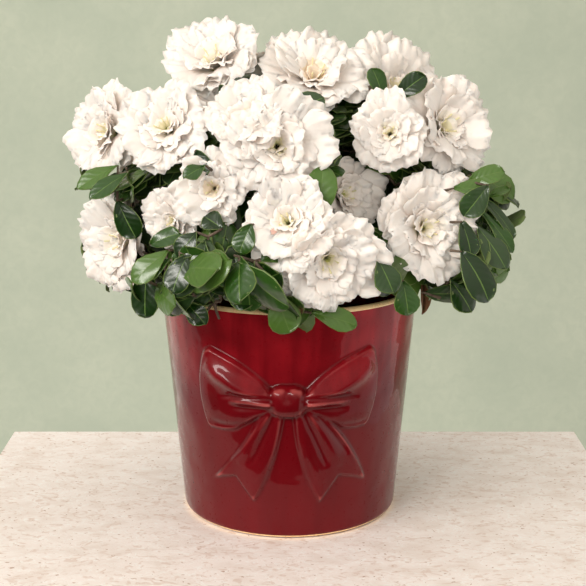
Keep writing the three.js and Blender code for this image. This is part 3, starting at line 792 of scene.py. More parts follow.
def tube(heap, path, radii, sides, finish=0, bark=0.0, seed=0.0):
    """Adds a closed tube along a path. Its ridges stand out by bark, a share of the radius."""
    path = np.asarray(path)
    ahead = np.gradient(path, axis=0)
    ahead /= np.linalg.norm(ahead, axis=1, keepdims=True)
    side = unit(np.cross(ahead[0], UP if abs(ahead[0][2]) < 0.9 else np.array([1.0, 0, 0])))
    turns = np.linspace(0, 2 * math.pi, sides + 1)[:-1]
    rings = []
    run = np.concatenate([[0], np.cumsum(np.linalg.norm(np.diff(path, axis=0), axis=1))])
    for middle, direction, r, along in zip(path, ahead, radii, run):
        side = unit(side - direction * (side @ direction))
        other = np.cross(direction, side)
        swell = np.ones(sides)
        if bark:
            swell += [bark * ridges(a, along, seed) for a in turns]
        outwards = np.cos(turns)[:, None] * side + np.sin(turns)[:, None] * other
        rings.append(middle + (r * swell)[:, None] * outwards)
    rings = [np.repeat(path[:1], sides, 0)] + rings + [np.repeat(path[-1:], sides, 0)]
    heap.add(np.concatenate(rings), grid_faces(len(rings), sides, closed=True), finish)


BARK = clouded_material(
    "azalea_bark", (0.11, 0.075, 0.05), 0.85, colours=((0.16, 0.115, 0.08), (0.045, 0.03, 0.02)),
    clouds=(0.004, 0.85), skin=(0.003, 1.0, 0.0008, 0.4), depth=0.0009, dull=(0.7, 0.95))
trunk_heap = Heap()
heights = np.linspace(SOIL_LEVEL - 1, TRUNK_TOP + 0.5, 40)
shares = (heights - SOIL_LEVEL) / (TRUNK_TOP - SOIL_LEVEL)
trunk_radii = TRUNK_RADIUS * (1 - 0.3 * shares) + (ROOT_FLARE + 1) * np.exp(-shares * 9)
tube(trunk_heap, [trunk_point(h) for h in heights], trunk_radii, TRUNK_SIDES, bark=TRUNK_BARK)
make_piece("trunk_bark", trunk_heap, [BARK], ["trunk"])
bough_heap = Heap()
for i, mass in enumerate(MASSES):
    path = bend_through(*mass["bough"], LIMB_RINGS)
    radii = BOUGH_RADIUS * (1 - 0.4 * np.linspace(0, 1, LIMB_RINGS))
    tube(bough_heap, path, radii, LIMB_SIDES, bark=BOUGH_BARK, seed=i * 3.7)
make_piece("boughs_bark", bough_heap, [BARK], [f"bough_{m['name']}" for m in MASSES])

# %% [markdown]
# ## One leaf
#
# The leaf is leathery and glossy: widest past its middle, folded a little along a pale midrib,
# curling down at the tip, with a thin yellow-green edge and a dull pale underside. A texture
# could paint all that, but a patterned texture is lost on a mesh of a thousand leaves. So the
# midrib and the edge are strips of faces with finishes of their own, and only the side veins are
# left to a bump.

# %% The leaf's shape
ACROSS = np.array([-1, -0.94, -0.5, -0.045, 0.045, 0.5, 0.94, 1])
STRIPS = ["edge", "blade", "blade", "rib", "blade", "blade", "edge"]
ALONG = np.array([0, 0.07, 0.22, 0.42, 0.62, 0.79, 0.92, 0.98, 1])
ALONG_COARSE = np.array([0, 0.1, 0.4, 0.72, 0.95, 1])
LEAF_TONES = 4
DEEP, GREEN, FRESH, DUSKY, RIB, EDGE, UNDER, WITHERED = range(LEAF_TONES + 4)
LEAF_THICKNESS = 0.4


def leaf_sheet(heap, root, along, face, length, width, curl, fold, tone, roll, rows=ALONG):
    """Adds one leaf. curl turns its tip down and fold lifts its two halves, both in radians."""
    side = unit(np.cross(along, face))
    normal = unit(np.cross(side, along))
    broad = np.maximum(np.sin(math.pi * rows**1.5), 0) ** 0.5
    broad = np.maximum(broad, 0.07 * (1 - rows))
    turn = curl * rows**1.6
    step = np.diff(rows, prepend=0) * length
    ahead, drop = np.cumsum(np.cos(turn) * step), np.cumsum(np.sin(turn) * step)
    across = ACROSS[None, :] * (broad * width / 2)[:, None]
    ripple = 1.1 * np.sin(rows * 7 + 6 * next(roll))[:, None] * ACROSS[None, :] ** 3
    lift = np.abs(across) * math.sin(fold) - 0.035 * across**2 + ripple
    lift -= 0.4 * (np.abs(ACROSS) < 0.1)[None, :]
    points = (root + ahead[:, None, None] * along
              + (across * math.cos(fold))[..., None] * side
              + (lift - drop[:, None])[..., None] * normal)
    dead = tone == WITHERED
    names = {"blade": tone, "edge": tone if dead else EDGE, "rib": tone if dead else RIB}
    finish = np.broadcast_to([names[s] for s in STRIPS], (len(rows) - 1, len(STRIPS)))
    u, w = np.meshgrid(ACROSS / 2 + 0.5, rows)
    thin_sheet(heap, points, LEAF_THICKNESS, finish, tone if dead else UNDER, np.stack([u, w], 2))


# %% [markdown]
# ## One flower
#
# A double azalea has a skirt of broad rounded petals, a second ring that stands steeper, and a
# ruffled heart of narrow ones that hide the throat. Each petal is a fan that leaves the tube and
# bends outwards. Its free edge is longer than its place allows, so it waves, and a finer crinkle
# runs along the very edge. White petals turn cream and then green towards the throat: the rows of
# faces near the base take those finishes.
# On the inner rings the cream reaches further. This is partly the throat's own colour and partly painted
# warm shade deep in the flower.

# %% The petal's shape
PETAL_WHITE, PETAL_IVORY, PETAL_CREAM, PETAL_LIME, PETAL_PEACH, PETAL_BLUSH, PETAL_THREAD = range(7)
# The finishes from a petal's base outwards, before the white begins.
HEARTS = {
    "lime": [PETAL_LIME, PETAL_CREAM, PETAL_IVORY],
    "peach": [PETAL_CREAM, PETAL_PEACH, PETAL_PEACH],
}
HEART_BANDS = np.array([0.4, 0.75, 1.25])  # where each ends, in shares of a ring's cream


def petal_ring(petals, length, half, lean, wave, cup, cream, grid):
    """One ring of petals.

    length and half width are in flower radii, lean is the first and last angle from the flower's
    axis in degrees, cream is how far the heart's colours reach, and grid the corners of a petal.
    """
    return {"petals": petals, "length": length, "half": half, "lean": lean, "wave": wave,
            "cup": cup, "cream": cream, "grid": grid}


# The cream share grows towards the inner rings. It is partly the throat's own colour and partly painted
# warm shade.
RINGS = [
    petal_ring(6, 1.1, 0.66, (33, 98), 0.75, 0.12, 0.2, (29, 10)),
    petal_ring(5, 0.99, 0.6, (27, 85), 0.85, 0.18, 0.3, (27, 10)),
    petal_ring(5, 0.78, 0.45, (19, 70), 0.85, 0.3, 0.45, (19, 8)),
    petal_ring(4, 0.56, 0.34, (9, 57), 0.95, 0.45, 0.6, (15, 7)),
    petal_ring(4, 0.37, 0.21, (0, 42), 1.0, 0.55, 0.85, (9, 5)),
]
PETAL_THICKNESS = 0.22
REAR_GRID = 0.72  # petals at the back have fewer corners
BLUSH_RING = 2


def petal(heap, ring, grid, radius, axes, turn, stretch, roll, heart, blush):
    """Adds one petal. axes are the flower's base and its side, up and look directions."""
    middle, side, up, look = axes
    cols, rows = grid
    u = np.linspace(-1, 1, cols)[None, :]
    v = np.linspace(0, 1, rows)[:, None]
    length = radius * ring["length"] * stretch * (0.92 + 0.16 * next(roll))
    half = radius * ring["half"] * (0.85 + 0.3 * next(roll))
    phase = [2 * math.pi * next(roll) for _ in range(5)]
    # The free edge is an arc with shallow scallops.
    reach = 1 - 0.12 * u**2 - 0.24 * u**6 + 0.035 * np.sin(5.5 * u + phase[0])
    reach += 0.02 * np.sin(17 * u + phase[1]) + 0.012 * np.sin(29 * u + phase[2])
    t = v * reach
    # The middle line leans further and further out from the flower's axis.
    low, high = (math.radians(x + 22 * (next(roll) - 0.5)) for x in ring["lean"])
    twist = math.radians(28 * (next(roll) - 0.5))
    fine = np.linspace(0, 1.1, 60)
    lean = low + (high - low) * fine**1.25
    out_line = np.concatenate([[0], np.cumsum(np.sin(lean))[:-1]]) * fine[1] * length
    up_line = np.concatenate([[0], np.cumsum(np.cos(lean))[:-1]]) * fine[1] * length
    tilt = np.interp(t, fine, lean)
    wide = half * (0.12 + 0.88 * smooth(t, 0.0, 0.85))
    bend = ring["cup"] * u * wide / half
    sideways = wide * np.where(np.abs(bend) > 1e-6, np.sin(bend) / np.where(bend == 0, 1, bend), 1) * u
    # The edge is longer than its arc, so it waves, and a finer crinkle runs along it.
    wave = ring["wave"] * half * smooth(t, 0.2, 1.0)
    edge = smooth(t, 0.55, 1.0)
    ruffle = 0.12 * wave * np.sin(4.8 * u + phase[2] + 1.2 * v)
    ruffle += 0.06 * wave * edge * np.sin(11 * u + phase[3])
    ruffle += 0.07 * half * smooth(t, 0.75, 1.0) * np.sin(19 * u + phase[4])
    ruffle += 0.008 * half * smooth(t, 0.1, 0.5) * np.sin(31 * u + phase[0])
    inward = wide * np.abs(u) * np.sin(np.abs(bend)) * 0.6 + ruffle + sideways * math.sin(twist) * t
    out = np.interp(t, fine, out_line) + 0.05 * radius - inward * np.cos(tilt)
    rise = np.interp(t, fine, up_line) + inward * np.sin(tilt)
    outwards = math.cos(turn) * side + math.sin(turn) * up
    tangent = -math.sin(turn) * side + math.cos(turn) * up
    points = middle + out[..., None] * outwards + sideways[..., None] * tangent + rise[..., None] * look
    cream = ring["cream"] * (0.8 + 0.4 * next(roll))
    run = np.linspace(0.5, rows - 1.5, rows - 1) / (rows - 1)
    bands = np.digitize(run, HEART_BANDS * cream)
    finish = np.repeat(np.array(heart + [PETAL_WHITE])[bands][:, None], cols - 1, 1)
    if blush:
        finish[rows // 2 :, cols // 3 : cols // 2] = PETAL_BLUSH
    thin_sheet(heap, points, PETAL_THICKNESS, finish)


def flower(heap, one, seed, coarse):
    """Adds one double flower with its rings of petals and the threads in its throat."""
    roll = dice(seed)
    for _ in range(5):  # neighbouring seeds begin alike, so the first numbers aren't used
        next(roll)
    look = one["look"]
    side = unit(np.cross(UP if abs(look[2]) < 0.95 else np.array([0, 1.0, 0]), look))
    up = np.cross(look, side)
    radius = one["width"] / 2
    base = one["at"] - look * radius * 0.47
    spin, swing, drift = (2 * math.pi * next(roll) for _ in range(3))
    for k, ring in enumerate(RINGS):
        spin += 0.4 + 0.5 * next(roll)
        foot = base + look * radius * 0.03 * k
        grid = [round(n * REAR_GRID) for n in ring["grid"]] if coarse else ring["grid"]
        for i in range(ring["petals"]):
            turn = spin + (i + 0.4 * (next(roll) - 0.5)) * 2 * math.pi / ring["petals"]
            stretch = 1 + 0.06 * math.sin(2 * turn + swing) + 0.07 * math.cos(turn - drift)
            blush = k == BLUSH_RING and i < one["blushes"]
            petal(heap, ring, grid, radius, (foot, side, up, look), turn, stretch, roll,
                  HEARTS[one["heart"]], blush)
    for i in range(5):
        turn = spin + i * GOLDEN_ANGLE
        lean = unit(look + 0.3 * (math.cos(turn) * side + math.sin(turn) * up))
        path = np.linspace(base + lean * 2, base + lean * radius * (0.5 + 0.15 * next(roll)), 5)
        tube(heap, path, [0.3, 0.28, 0.26, 0.28, 0.5], 5, PETAL_THREAD)


# %% [markdown]
# ## Petal and leaf finishes
#
# A petal is thin and full of light: most of its whiteness is light that went in on one side and
# came out on another, so the shader scatters light under the surface, a little further for red.
# A leaf's upper side has a waxy gloss broken by side veins. Both keep plain colours: bands of them
# from the heart of a flower outwards, and one tone of green for each spray of leaves.


# %% Petal materials
def make_petal(name, colour, scatter=0.7):
    material, tree, shader = new_material(
        name, colour, 0.55, Subsurface_Weight=scatter, Subsurface_Radius=(1.0, 0.9, 0.85),
        Subsurface_Scale=0.0005, Sheen_Weight=0.1, Sheen_Roughness=0.4, Specular_IOR_Level=0.3)
    skin = use_group(tree, SKIN, Swell_size=0.003, Swell=0.8, Grain_size=0.0007, Grain=0.15)
    uneven(tree, shader, skin.outputs["Height"], 0.00022)
    roughened(tree, shader, skin.outputs["Grain"], 0.45, 0.6)
    return material


PETALS = [
    make_petal("petal_white", (0.925, 0.835, 0.77)),
    make_petal("petal_ivory", (0.925, 0.835, 0.735)),
    make_petal("petal_cream", (0.89, 0.82, 0.6)),
    make_petal("petal_lime", (0.62, 0.64, 0.22)),
    make_petal("petal_peach", (0.91, 0.755, 0.6)),
    make_petal("petal_blush", (0.9, 0.52, 0.44)),
    make_petal("petal_thread", (0.76, 0.7, 0.4), 0.2),
]


# %% Leaf materials
SIDE_VEINS, VEIN_SLANT = 6, 0.55


def make_leaf(name, colour, smooth_value, rough_value, coat):
    """A waxy leaf. Side veins leave the rib at a slant, as a wave that runs along the leaf."""
    material, tree, shader = new_material(
        name, colour, smooth_value, Specular_IOR_Level=0.35, Coat_Weight=coat, Coat_Roughness=0.2,
        Subsurface_Weight=0.08, Subsurface_Radius=(0.4, 1.0, 0.2), Subsurface_Scale=0.002)
    pattern = node(tree, "ShaderNodeUVMap", (-1100, -300), uv_map="pattern")
    split = node(tree, "ShaderNodeSeparateXYZ", (-950, -300))
    beside = node(tree, "ShaderNodeMath", (-800, -250), operation="SUBTRACT")
    beside.inputs[1].default_value = 0.5
    away = node(tree, "ShaderNodeMath", (-700, -250), operation="ABSOLUTE")
    slant = node(tree, "ShaderNodeMath", (-600, -300), operation="MULTIPLY_ADD")
    slant.inputs[1].default_value = -VEIN_SLANT
    wave = node(tree, "ShaderNodeMath", (-500, -300), operation="MULTIPLY")
    wave.inputs[1].default_value = SIDE_VEINS * 2 * math.pi
    vein = node(tree, "ShaderNodeMath", (-400, -300), operation="COSINE")
    swell = node(tree, "ShaderNodeMath", (-300, -300), operation="MULTIPLY")
    swell.inputs[1].default_value = 0.15
    skin = use_group(tree, SKIN, Swell_size=0.006, Swell=0.8, Grain_size=0.0008, Grain=0.12)
    total = node(tree, "ShaderNodeMath", (-200, -350), operation="SUBTRACT")
    wire(tree, (pattern, 0, split, 0), (split, 0, beside, 0), (beside, 0, away, 0),
               (away, 0, slant, 0), (split, 1, slant, 2), (slant, 0, wave, 0),
               (wave, 0, vein, 0), (vein, 0, swell, 0), (skin, "Height", total, 0),
               (swell, 0, total, 1))
    uneven(tree, shader, total.outputs[0], 0.00034)
    roughened(tree, shader, skin.outputs["Grain"], smooth_value, rough_value)
    return material


LEAVES = [
    make_leaf("leaf_deep", (0.007, 0.026, 0.003), 0.26, 0.36, 0.6),
    make_leaf("leaf_green", (0.023, 0.066, 0.008), 0.26, 0.36, 0.6),
    make_leaf("leaf_fresh", (0.07, 0.14, 0.023), 0.28, 0.38, 0.5),
    make_leaf("leaf_dusky", (0.026, 0.055, 0.016), 0.28, 0.38, 0.55),
    make_leaf("leaf_rib", (0.095, 0.165, 0.036), 0.34, 0.44, 0.2),
    make_leaf("leaf_edge", (0.11, 0.165, 0.035), 0.36, 0.46, 0.2),
    make_leaf("leaf_under", (0.12, 0.165, 0.055), 0.6, 0.75, 0.0),
    make_leaf("leaf_withered", (0.16, 0.075, 0.035), 0.7, 0.85, 0.0),
]

# %% [markdown]
# ## Growing each mass
#
# The rule is the one that grew the solids, carried to finer twigs. A stem runs from the bough's
# tip to the mass's heart. Every flower and every leaf tuft is joined to the nearest fork laid so
# far, so the twigs branch as they do on a real bush. Leaves spiral round the last stretch of a
# twig by the golden angle, open out from it, and are left out where they would leave the mass's
# space, touch a limb or stand in a flower. The leaves that the eye meets first are laid one by one
# instead, each on a twig of its own, and the tufts keep clear of them.

# %% Tufts, twigs and leaves
# Tufts with a place of their own: at both sides, along the front rim, and a row above the peat.
SHOOTS = [place(*shoot) for shoot in (
    (96, 117, 184), (98, 116, 163), (88, 112, 150), (76, 99, 146), (-97, 108, 193), (-92, 108, 176),
    (-68, 88, 136), (-47, 86, 140), (-24, 88, 142), (3, 86, 138), (18, 85, 137), (40, 86, 142))]
HANGING = {tuple(shoot) for shoot in SHOOTS[6:11]}
MOUTH = [place(azimuth, 60, 144 + 5 * (i % 2)) for i, azimuth in enumerate(range(-62, 80, 12))]
TUFTS_TRIED, TUFT_SPREAD, TUFT_SPACING, REAR_SPACING = 3000, 120.0, 9.6, 1.35
TUFT_SHARES = (0.4, 0.88)  # from the crown's heart, 0, to its outline, 1
# Leaves that are laid one by one. Each: azimuth, out and height of its foot, the azimuth and
# elevation that its tip points to, its length and width, and its tone.
FRONT_LEAVES = [
    # In front, from the pale one that stands up between two flowers to the one above the rim.
    (9.5, 93, 187, 39, 83, 28, 17, FRESH), (-15, 117, 182, -73, -46, 24, 18, GREEN),
    (-11, 111, 167, 20, -78, 24, 18, GREEN), (-4, 102, 151, 57, -63, 22, 18, FRESH),
    # Above the rim, left of the middle.
    (-45, 106, 158, -19, -74, 26, 18, DEEP), (-36, 106, 170, -63, -29, 25, 14, FRESH),
    (-28, 110, 170, -38, -49, 21, 16, DEEP), (-24, 112, 164, 72, -8, 23, 13, GREEN),
    # Above the rim, right of the middle.
    (51, 117, 167, 51, -45, 30, 21, DEEP), (33, 108, 155, 32, -68, 18, 15, GREEN),
    (26, 104, 167, 49, -53, 19, 15, DUSKY), (7, 95, 139, 84, -10, 25, 13, FRESH),
    (55, 106, 149, 61, -44, 21, 16, DEEP),
    # The spray at the far right.
    (62, 109, 201, 75, 23, 20, 12, FRESH), (58, 104, 198, 80, 5, 18, 12, FRESH),
    (61, 121, 200, -57, -45, 21, 15, DUSKY), (68, 117, 192, 78, 26, 12, 6, FRESH),
    (66, 115, 191, 72, -40, 28, 9, DUSKY), (64, 115, 185, 67, -41, 29, 10, GREEN),
    (61, 115, 178, 57, -43, 29, 17, DUSKY), (56, 111, 181, 29, -51, 20, 14, DEEP),
    # Smaller ones that fill in on the left.
    (-27, 94, 214, -59, -20, 13, 9, GREEN), (-35, 85, 220, 35, -44, 15, 10, DEEP),
    (-56, 110, 192, 57, -60, 22, 15, DEEP), (-11, 100, 186, -45, -55, 16, 13, GREEN),
    (-35, 107, 166, -74, -24, 18, 11, GREEN), (-22, 106, 160, 71, 22, 21, 11, GREEN),
    (-31, 107, 148, 73, 26, 23, 10, FRESH), (-33, 100, 143, 48, -33, 17, 12, DEEP),
    (-27, 104, 181, -56, -41, 16, 13, DEEP), (-21, 95, 182, -116, 31, 13, 12, DEEP),
    (-42, 108, 172, 64, 30, 18, 12, GREEN), (-8, 101, 167, 112, 34, 16, 13, GREEN),
    (-17, 109, 153, 62, -16, 16, 13, DEEP),
    # Between the upper flowers.
    (49, 67, 243, -61, 76, 19, 12, GREEN), (55, 70, 245, 81, 40, 20, 13, DEEP),
    (-35, 64, 252, 39, -43, 18, 12, DEEP), (-27, 61, 251, -37, -44, 18, 12, GREEN),
    # Two long ones at the far left.
    (-56, 109, 211, -68, -20, 25, 11, FRESH), (-52, 107, 208, -58, -23, 25, 11, GREEN),
]
# Tufts keep clear of the middle of these leaves, by a share of the leaf's length that is wider in
# the spray at the far right.
HAND_LAID = np.array([place(azimuth, out, height) + 0.5 * length * facing(turn, tilt)
                      for azimuth, out, height, turn, tilt, length, _width, _tone in FRONT_LEAVES])
HAND_ROOM = np.array([(0.5 if row[0] > 50 else 0.25) * row[5] for row in FRONT_LEAVES])
SHOULDER_HEIGHT, SHOULDER_WIDTH, SHOULDER_SLOPE = 208.0, 86.0, 0.9
FRONT_Y, UPPER_FLOWERS = -50.0, 236.0  # no tuft stands before the upper flowers
# Places on a leaf where its room is tested: shares of its length, and of its width to the side.
PROBES = ((1, 0), (0.85, 0.3), (0.85, -0.3), (0.58, 0.5), (0.58, -0.5), (0.4, 0))
LEAVES_PER_TUFT = 7
BARE_RIM = ((-46, -17), (43, 73))  # across
SIGHT_SLOPE, EYE_AWAY = 0.26, 700  # how an eye in front sees the rim
FORK_STEP, FORKS_TRIED, LONE_STALK = 6.0, 16, 7.0


def hides_bare_rim(points):
    """True where a leaf would hang in front of the two stretches of the rim that stay bare."""
    before = points[:, 1] < 0
    rim = -np.sqrt(np.maximum(RIM_RADIUS**2 - points[:, 0] ** 2, 0))
    low = points[:, 2] < POT_HEIGHT + 2 + SIGHT_SLOPE * (rim - points[:, 1])
    across = points[:, 0] * (1 + (points[:, 1] - rim) / EYE_AWAY)
    within = np.zeros(len(points), bool)
    for start, end in BARE_RIM:
        within |= (across > start) & (across < end)
    return (before & low & within & (points[:, 1] < rim + 3)).any()


def over_shoulder(points):
    """True where a leaf would rise above the crown's slope, where only flowers stand."""
    slope = SHOULDER_SLOPE * np.maximum(SHOULDER_WIDTH - np.abs(points[:, 0]), 0)
    return (points[:, 2] > SHOULDER_HEIGHT + slope).any()


def tuft_places(mass, spacing, roll):
    """Places for leaf tufts in a mass's space, apart from each other."""
    spots = np.array([next(roll) for _ in range(3 * TUFTS_TRIED)]).reshape(-1, 3) - 0.5
    spots = spots * TUFT_SPREAD + mass["heart"]
    share = crown_share(spots)
    good = (share > TUFT_SHARES[0]) & (share < TUFT_SHARES[1]) & (room(mass, spots) > 2)
    good &= is_clear(spots, 4) & ~in_flower(spots)
    good &= (np.linalg.norm(spots[:, None] - HAND_LAID[None], axis=2) > HAND_ROOM).all(axis=1)
    good &= (spots[:, 1] > FRONT_Y) | (spots[:, 2] < UPPER_FLOWERS)
    kept = [s for s in SHOOTS + MOUTH if room(mass, s)[0] > 2]
    for spot in spots[good]:
        if all(np.linalg.norm(spot - k) > spacing for k in kept):
            kept.append(spot)
    return kept


def tuft_leaves(mass, heap, tip, start, hangs, coarse, roll):
    """Adds the leaves of one tuft and returns how many found room. Only some hang past the rim."""
    back = unit(start - tip)
    axis = unit(1.4 * unit(tip - CROWN_HEART) - back + UP * (tip[2] - CROWN_HEART[2]) / 90)
    across = unit(np.cross(axis, UP))
    turn = 2 * math.pi * next(roll)
    tone = int(next(roll) * LEAF_TONES)
    grown = 0
    for k in range(LEAVES_PER_TUFT):
        spread = math.radians(40 + 36 * next(roll) + 2.5 * k)
        length = LEAF_LENGTH * (0.72 + 0.4 * next(roll))
        width = LEAF_WIDTH / LEAF_LENGTH * length * (0.9 + 0.35 * next(roll))
        curl, fold = 0.25 + 0.5 * next(roll), 0.1 + 0.25 * next(roll)
        angle = turn + k * GOLDEN_ANGLE
        round_axis = across * math.cos(angle) + np.cross(axis, across) * math.sin(angle)
        along = axis * math.cos(spread) + round_axis * math.sin(spread)
        root = tip + back * k * 1.9
        side = unit(np.cross(along, axis))
        probe = np.array([root + along * length * t + side * width * w for t, w in PROBES])
        if room(mass, probe).min() < 0.3 or crown_share(probe).max() > 1.05:
            continue
        if not is_clear(probe, 1.2).all() or in_flower(probe, 0.96).any():
            continue
        if not hangs and probe[:, 2].min() < POT_HEIGHT - 3:
            continue
        if hides_bare_rim(probe) or over_shoulder(probe):
            continue
        rows = ALONG_COARSE if coarse else ALONG
        leaf_sheet(heap, root, along, axis, length, width, curl, fold, tone, roll, rows)
        grown += 1
    return grown


def free_fork(forks, foot):
    """The nearest fork with a straight way to a foot that crosses no flower, or None."""
    for fork in sorted(forks, key=lambda f: np.linalg.norm(f - foot))[:FORKS_TRIED]:
        way = fork + (foot - fork) * np.linspace(0.1, 0.9, 7)[:, None]
        if not in_flower(way, 0.92).any():
            return fork
    return None


def grow(mass, seed, coarse, leaf_heap, twig_heap, petal_heap):
    """Adds a mass's stem, flowers, twigs and leaves, and returns how many leaves it has."""
    roll = dice(seed)
    forks = []

    def lay(a, b, thick, thin):
        steps = max(1, round(np.linalg.norm(b - a) / FORK_STEP))
        sag = unit(np.cross(b - a, UP + 0.01)) * np.linalg.norm(b - a) * 0.06 * (next(roll) - 0.5)
        path = bend_through(a, (a + b) / 2 + sag, b, steps + 2)
        forks.extend(path[1:])
        tube(twig_heap, path, np.linspace(thick, thin, len(path)), TWIG_SIDES)

    lay(mass["bough"][-1], mass["heart"], BOUGH_RADIUS * 0.6, TWIG_RADIUS * 1.3)
    for i, one in enumerate(mass["flowers"]):
        base = one["at"] - one["look"] * one["width"] * 0.23
        start = min(forks, key=lambda f: np.linalg.norm(f - base))
        lay(start, base, TWIG_RADIUS * 1.2, TWIG_RADIUS)
        flower(petal_heap, one, seed * 10 + i, coarse)
    leaves = 0
    for spot in tuft_places(mass, TUFT_SPACING * (REAR_SPACING if coarse else 1), roll):
        start = free_fork(forks, spot)
        if start is None:
            continue
        found = tuft_leaves(mass, leaf_heap, spot, start, tuple(spot) in HANGING, coarse, roll)
        leaves += found
        if found:
            lay(start, spot, TWIG_RADIUS * 0.9, TWIG_RADIUS * 0.6)
    for azimuth, out, height, turn, tilt, length, width, tone in FRONT_LEAVES:
        foot = place(azimuth, out, height)
        if room(mass, foot)[0] < 0:
            continue
        start = free_fork(forks, foot)
        if start is None:  # no straight way is free, so the leaf gets a short stalk of its own
            start = foot + LONE_STALK * unit(CROWN_HEART - foot)
        lay(start, foot, TWIG_RADIUS * 0.8, TWIG_RADIUS * 0.5)
        leaf_sheet(leaf_heap, foot, facing(turn, tilt), facing(0.4 * azimuth, 34), length, width,
                   0.3 + 0.3 * next(roll), 0.15 + 0.15 * next(roll), tone, roll)
        leaves += 1
    return leaves


# %% Grow the crown
def withered_leaf(heap):
    """One dead leaf, curled and narrow, caught on the rim at the right."""
    along, face = unit(np.array([0.16, -0.1, -1.0])), unit(np.array([0.5, -1.0, 0.1]))
    leaf_sheet(heap, place(77, 77.5, 145), along, face, 27, 11, 0.5, 0.9, WITHERED, dice(3))


SHARES = {
    "front": ["front_centre", "front_left", "front_low", "low_left", "low_right"],
    "upper": ["top_left", "left_shoulder", "top_right", "right_shoulder", "top_back"],
    "rear_right": ["back_1", "back_2"],
    "rear_left": ["back_3", "back_4", "back_5"],
}
twig_heap = Heap()
leaf_total = 0
for share, names in SHARES.items():
    leaf_heap, petal_heap = Heap(), Heap()
    for i, mass in enumerate(MASSES):
        if mass["name"] in names:
            coarse = share.startswith("rear")
            leaf_total += grow(mass, 7 + i, coarse, leaf_heap, twig_heap, petal_heap)
    nodes = [f"foliage_{n}" for n in names]
    if share == "front":
        withered_leaf(leaf_heap)
    make_piece(f"leaves_{share}", leaf_heap, LEAVES, nodes)
    make_piece(f"petals_{share}", petal_heap, PETALS, nodes)
make_piece("twigs", twig_heap, [BARK], [f"foliage_{m['name']}" for m in MASSES])
print("leaves grown:", leaf_total)

# %% [markdown]
# ## A place to stand, light and camera
#
# The pot stands on a plain pale slab in front of a plain sage wall. Glaze mirrors everything round
# it, so each light is a soft box with a task. A narrow one high on the left is the main light, and a
# broad one in front fills the shade but is kept out of the reflections. A low card at each side is
# there for the glaze to mirror, and two boxes wash the wall. The camera looks slightly down, as one
# looks at a plant on a table.


# %% Slab and wall
BOX_FACES = [(3, 2, 1, 0), (4, 5, 6, 7), (0, 1, 5, 4), (1, 2, 6, 5), (2, 3, 7, 6), (3, 0, 4, 7)]


def stage_box(name, low, high, material):
    mesh = bpy.data.meshes.new(name)
    x0, y0, z0 = low
    x1, y1, z1 = high
    corners = [(x, y, z) for z in (z0, z1) for x, y in ((x0, y0), (x1, y0), (x1, y1), (x0, y1))]
    mesh.from_pydata(corners, [], BOX_FACES)
    mesh.materials.append(material)
    box = bpy.data.objects.new(name, mesh)
    bpy.context.scene.collection.objects.link(box)


def make_slab_material():
    """Pale travertine: thin light veins, soft tan clouds drawn out one way, and small brown flecks."""
    material, tree, shader = new_material("pale_stone", (0.7, 0.6, 0.56), 0.5)
    body, light = (0.955, 0.868, 0.824, 1), (1.0, 0.97, 0.94, 1)
    last = use_group(tree, CLOUDING, Colour=body, Cloud_colour=light, Size=0.006, Amount=0.85,
                     Squeeze=(0.6, 1, 1), Start=0.47, Full=0.49, Twist=1.5)
    for size, start, full, amount, twist, colour in (
            (0.006, 0.505, 0.525, 1.0, 1.5, body),  # leaves thin light veins between the two
            (0.012, 0.45, 0.7, 0.6, 0.6, (0.8, 0.68, 0.61, 1)),
            (0.005, 0.56, 0.64, 0.5, 1.8, (0.68, 0.5, 0.41, 1)),
            (0.0022, 0.665, 0.69, 0.85, 0.3, (0.4, 0.2, 0.11, 1))):
        patch = use_group(tree, CLOUDING, Cloud_colour=colour, Size=size, Amount=amount,
                          Squeeze=(0.6, 1, 1), Start=start, Full=full, Twist=twist)
        wire(tree, (last, "Colour", patch, "Colour"))
        last = patch
    wire(tree, (last, "Colour", shader, "Base Color"))
    skin = use_group(tree, SKIN, Swell_size=0.006, Swell=0.5, Grain_size=0.0012, Grain=0.3)
    uneven(tree, shader, skin.outputs["Height"], 0.0003)
    return material


def make_wall_material():
    """Sage distemper with broad clouds and small ones."""
    material, tree, shader = new_material("sage_wall", (0.5, 0.53, 0.4), 0.9)
    broad = use_group(tree, CLOUDING, Colour=(0.55, 0.585, 0.455, 1),
                      Cloud_colour=(0.46, 0.51, 0.395, 1), Size=0.16, Amount=0.7)
    small = use_group(tree, CLOUDING, Cloud_colour=(0.45, 0.5, 0.385, 1), Size=0.022,
                      Amount=0.4, Twist=0.8)
    wire(tree, (broad, "Colour", small, "Colour"), (small, "Colour", shader, "Base Color"))
    return material


stage_box("slab", (-0.193, -0.1235, -0.03), (0.199, 0.121, 0.0), make_slab_material())
stage_box("wall", (-6, 2.2, -2), (6, 2.3, 5), make_wall_material())


# %% Lights and camera
def soft_box(name, at, aim, size, watts, colour=(1, 0.96, 0.91), mirrored=True):
    light = bpy.data.lights.new(name, "AREA")
    light.shape, light.size, light.size_y = "RECTANGLE", *size
    light.energy, light.color = watts, colour
    lamp = bpy.data.objects.new(name, light)
    lamp.location = at
    lamp.rotation_euler = (Vector(aim) - Vector(at)).to_track_quat("-Z", "Y").to_euler()
    lamp.visible_glossy = mirrored
    bpy.context.scene.collection.objects.link(lamp)


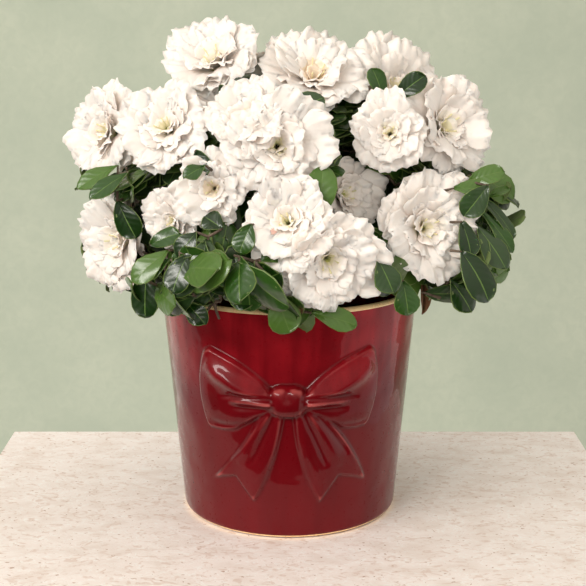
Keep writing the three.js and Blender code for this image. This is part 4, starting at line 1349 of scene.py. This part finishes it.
AIM = (0, 0, 0.16)
soft_box("key", (-1.2, -1.25, 1.15), AIM, (1.5, 0.32), 29.5)
soft_box("front_fill", (0.2, -2.2, 0.35), AIM, (1.8, 1.3), 20.5, mirrored=False)
soft_box("left_card", (-0.8, 0.42, -0.3), AIM, (1.0, 0.8), 1.6)
soft_box("right_card", (0.8, -0.1, -0.2), AIM, (1.1, 0.9), 3)
soft_box("wall_high", (-0.4, 0.6, 0.95), (-0.3, 2.2, -0.1), (3.2, 1.0), 15.2, (1, 1, 1))
soft_box("wall_low", (-0.4, 0.7, -1.4), (-0.3, 2.2, -0.3), (3.2, 1.0), 15.2, (1, 1, 1))


def make_world():
    """A bright ceiling, a milder room at eye height and a dark floor."""
    world = bpy.data.worlds.new("studio_air")
    world.use_nodes = True
    tree = world.node_tree
    where = node(tree, "ShaderNodeTexCoord", (-900, 0))
    split = node(tree, "ShaderNodeSeparateXYZ", (-700, 0))
    ramp = node(tree, "ShaderNodeValToRGB", (-450, 0))
    stops = ramp.color_ramp.elements
    stops[0].position, stops[0].color = 0.0, (0.03, 0.025, 0.022, 1)
    stops[1].position, stops[1].color = 1.0, (0.95, 0.88, 0.79, 1)
    for position, colour in ((0.42, (0.05, 0.045, 0.04, 1)), (0.56, (0.45, 0.42, 0.37, 1))):
        stops.new(position).color = colour
    shift = node(tree, "ShaderNodeMath", (-600, 0), operation="MULTIPLY_ADD")
    shift.inputs[1].default_value, shift.inputs[2].default_value = 0.5, 0.5
    back = tree.nodes["Background"]
    back.inputs[1].default_value = 0.96
    wire(tree, (where, "Generated", split, 0), (split, 2, shift, 0), (shift, 0, ramp, 0),
               (ramp, 0, back, 0))
    return world


bpy.context.scene.world = make_world()
bpy.context.scene.view_settings.view_transform = "Standard"

FOCAL, SENSOR = 79.86, 36.0
EYE = (0.0021, -0.745, 0.300)
LOOKS_DOWN = 13.02
camera = bpy.data.cameras.new("camera")
camera.lens, camera.sensor_width = FOCAL, SENSOR
eye = bpy.data.objects.new("camera", camera)
eye.location = EYE
eye.rotation_euler = (math.radians(90 - LOOKS_DOWN), 0, 0)
bpy.context.scene.collection.objects.link(eye)
bpy.context.scene.camera = eye
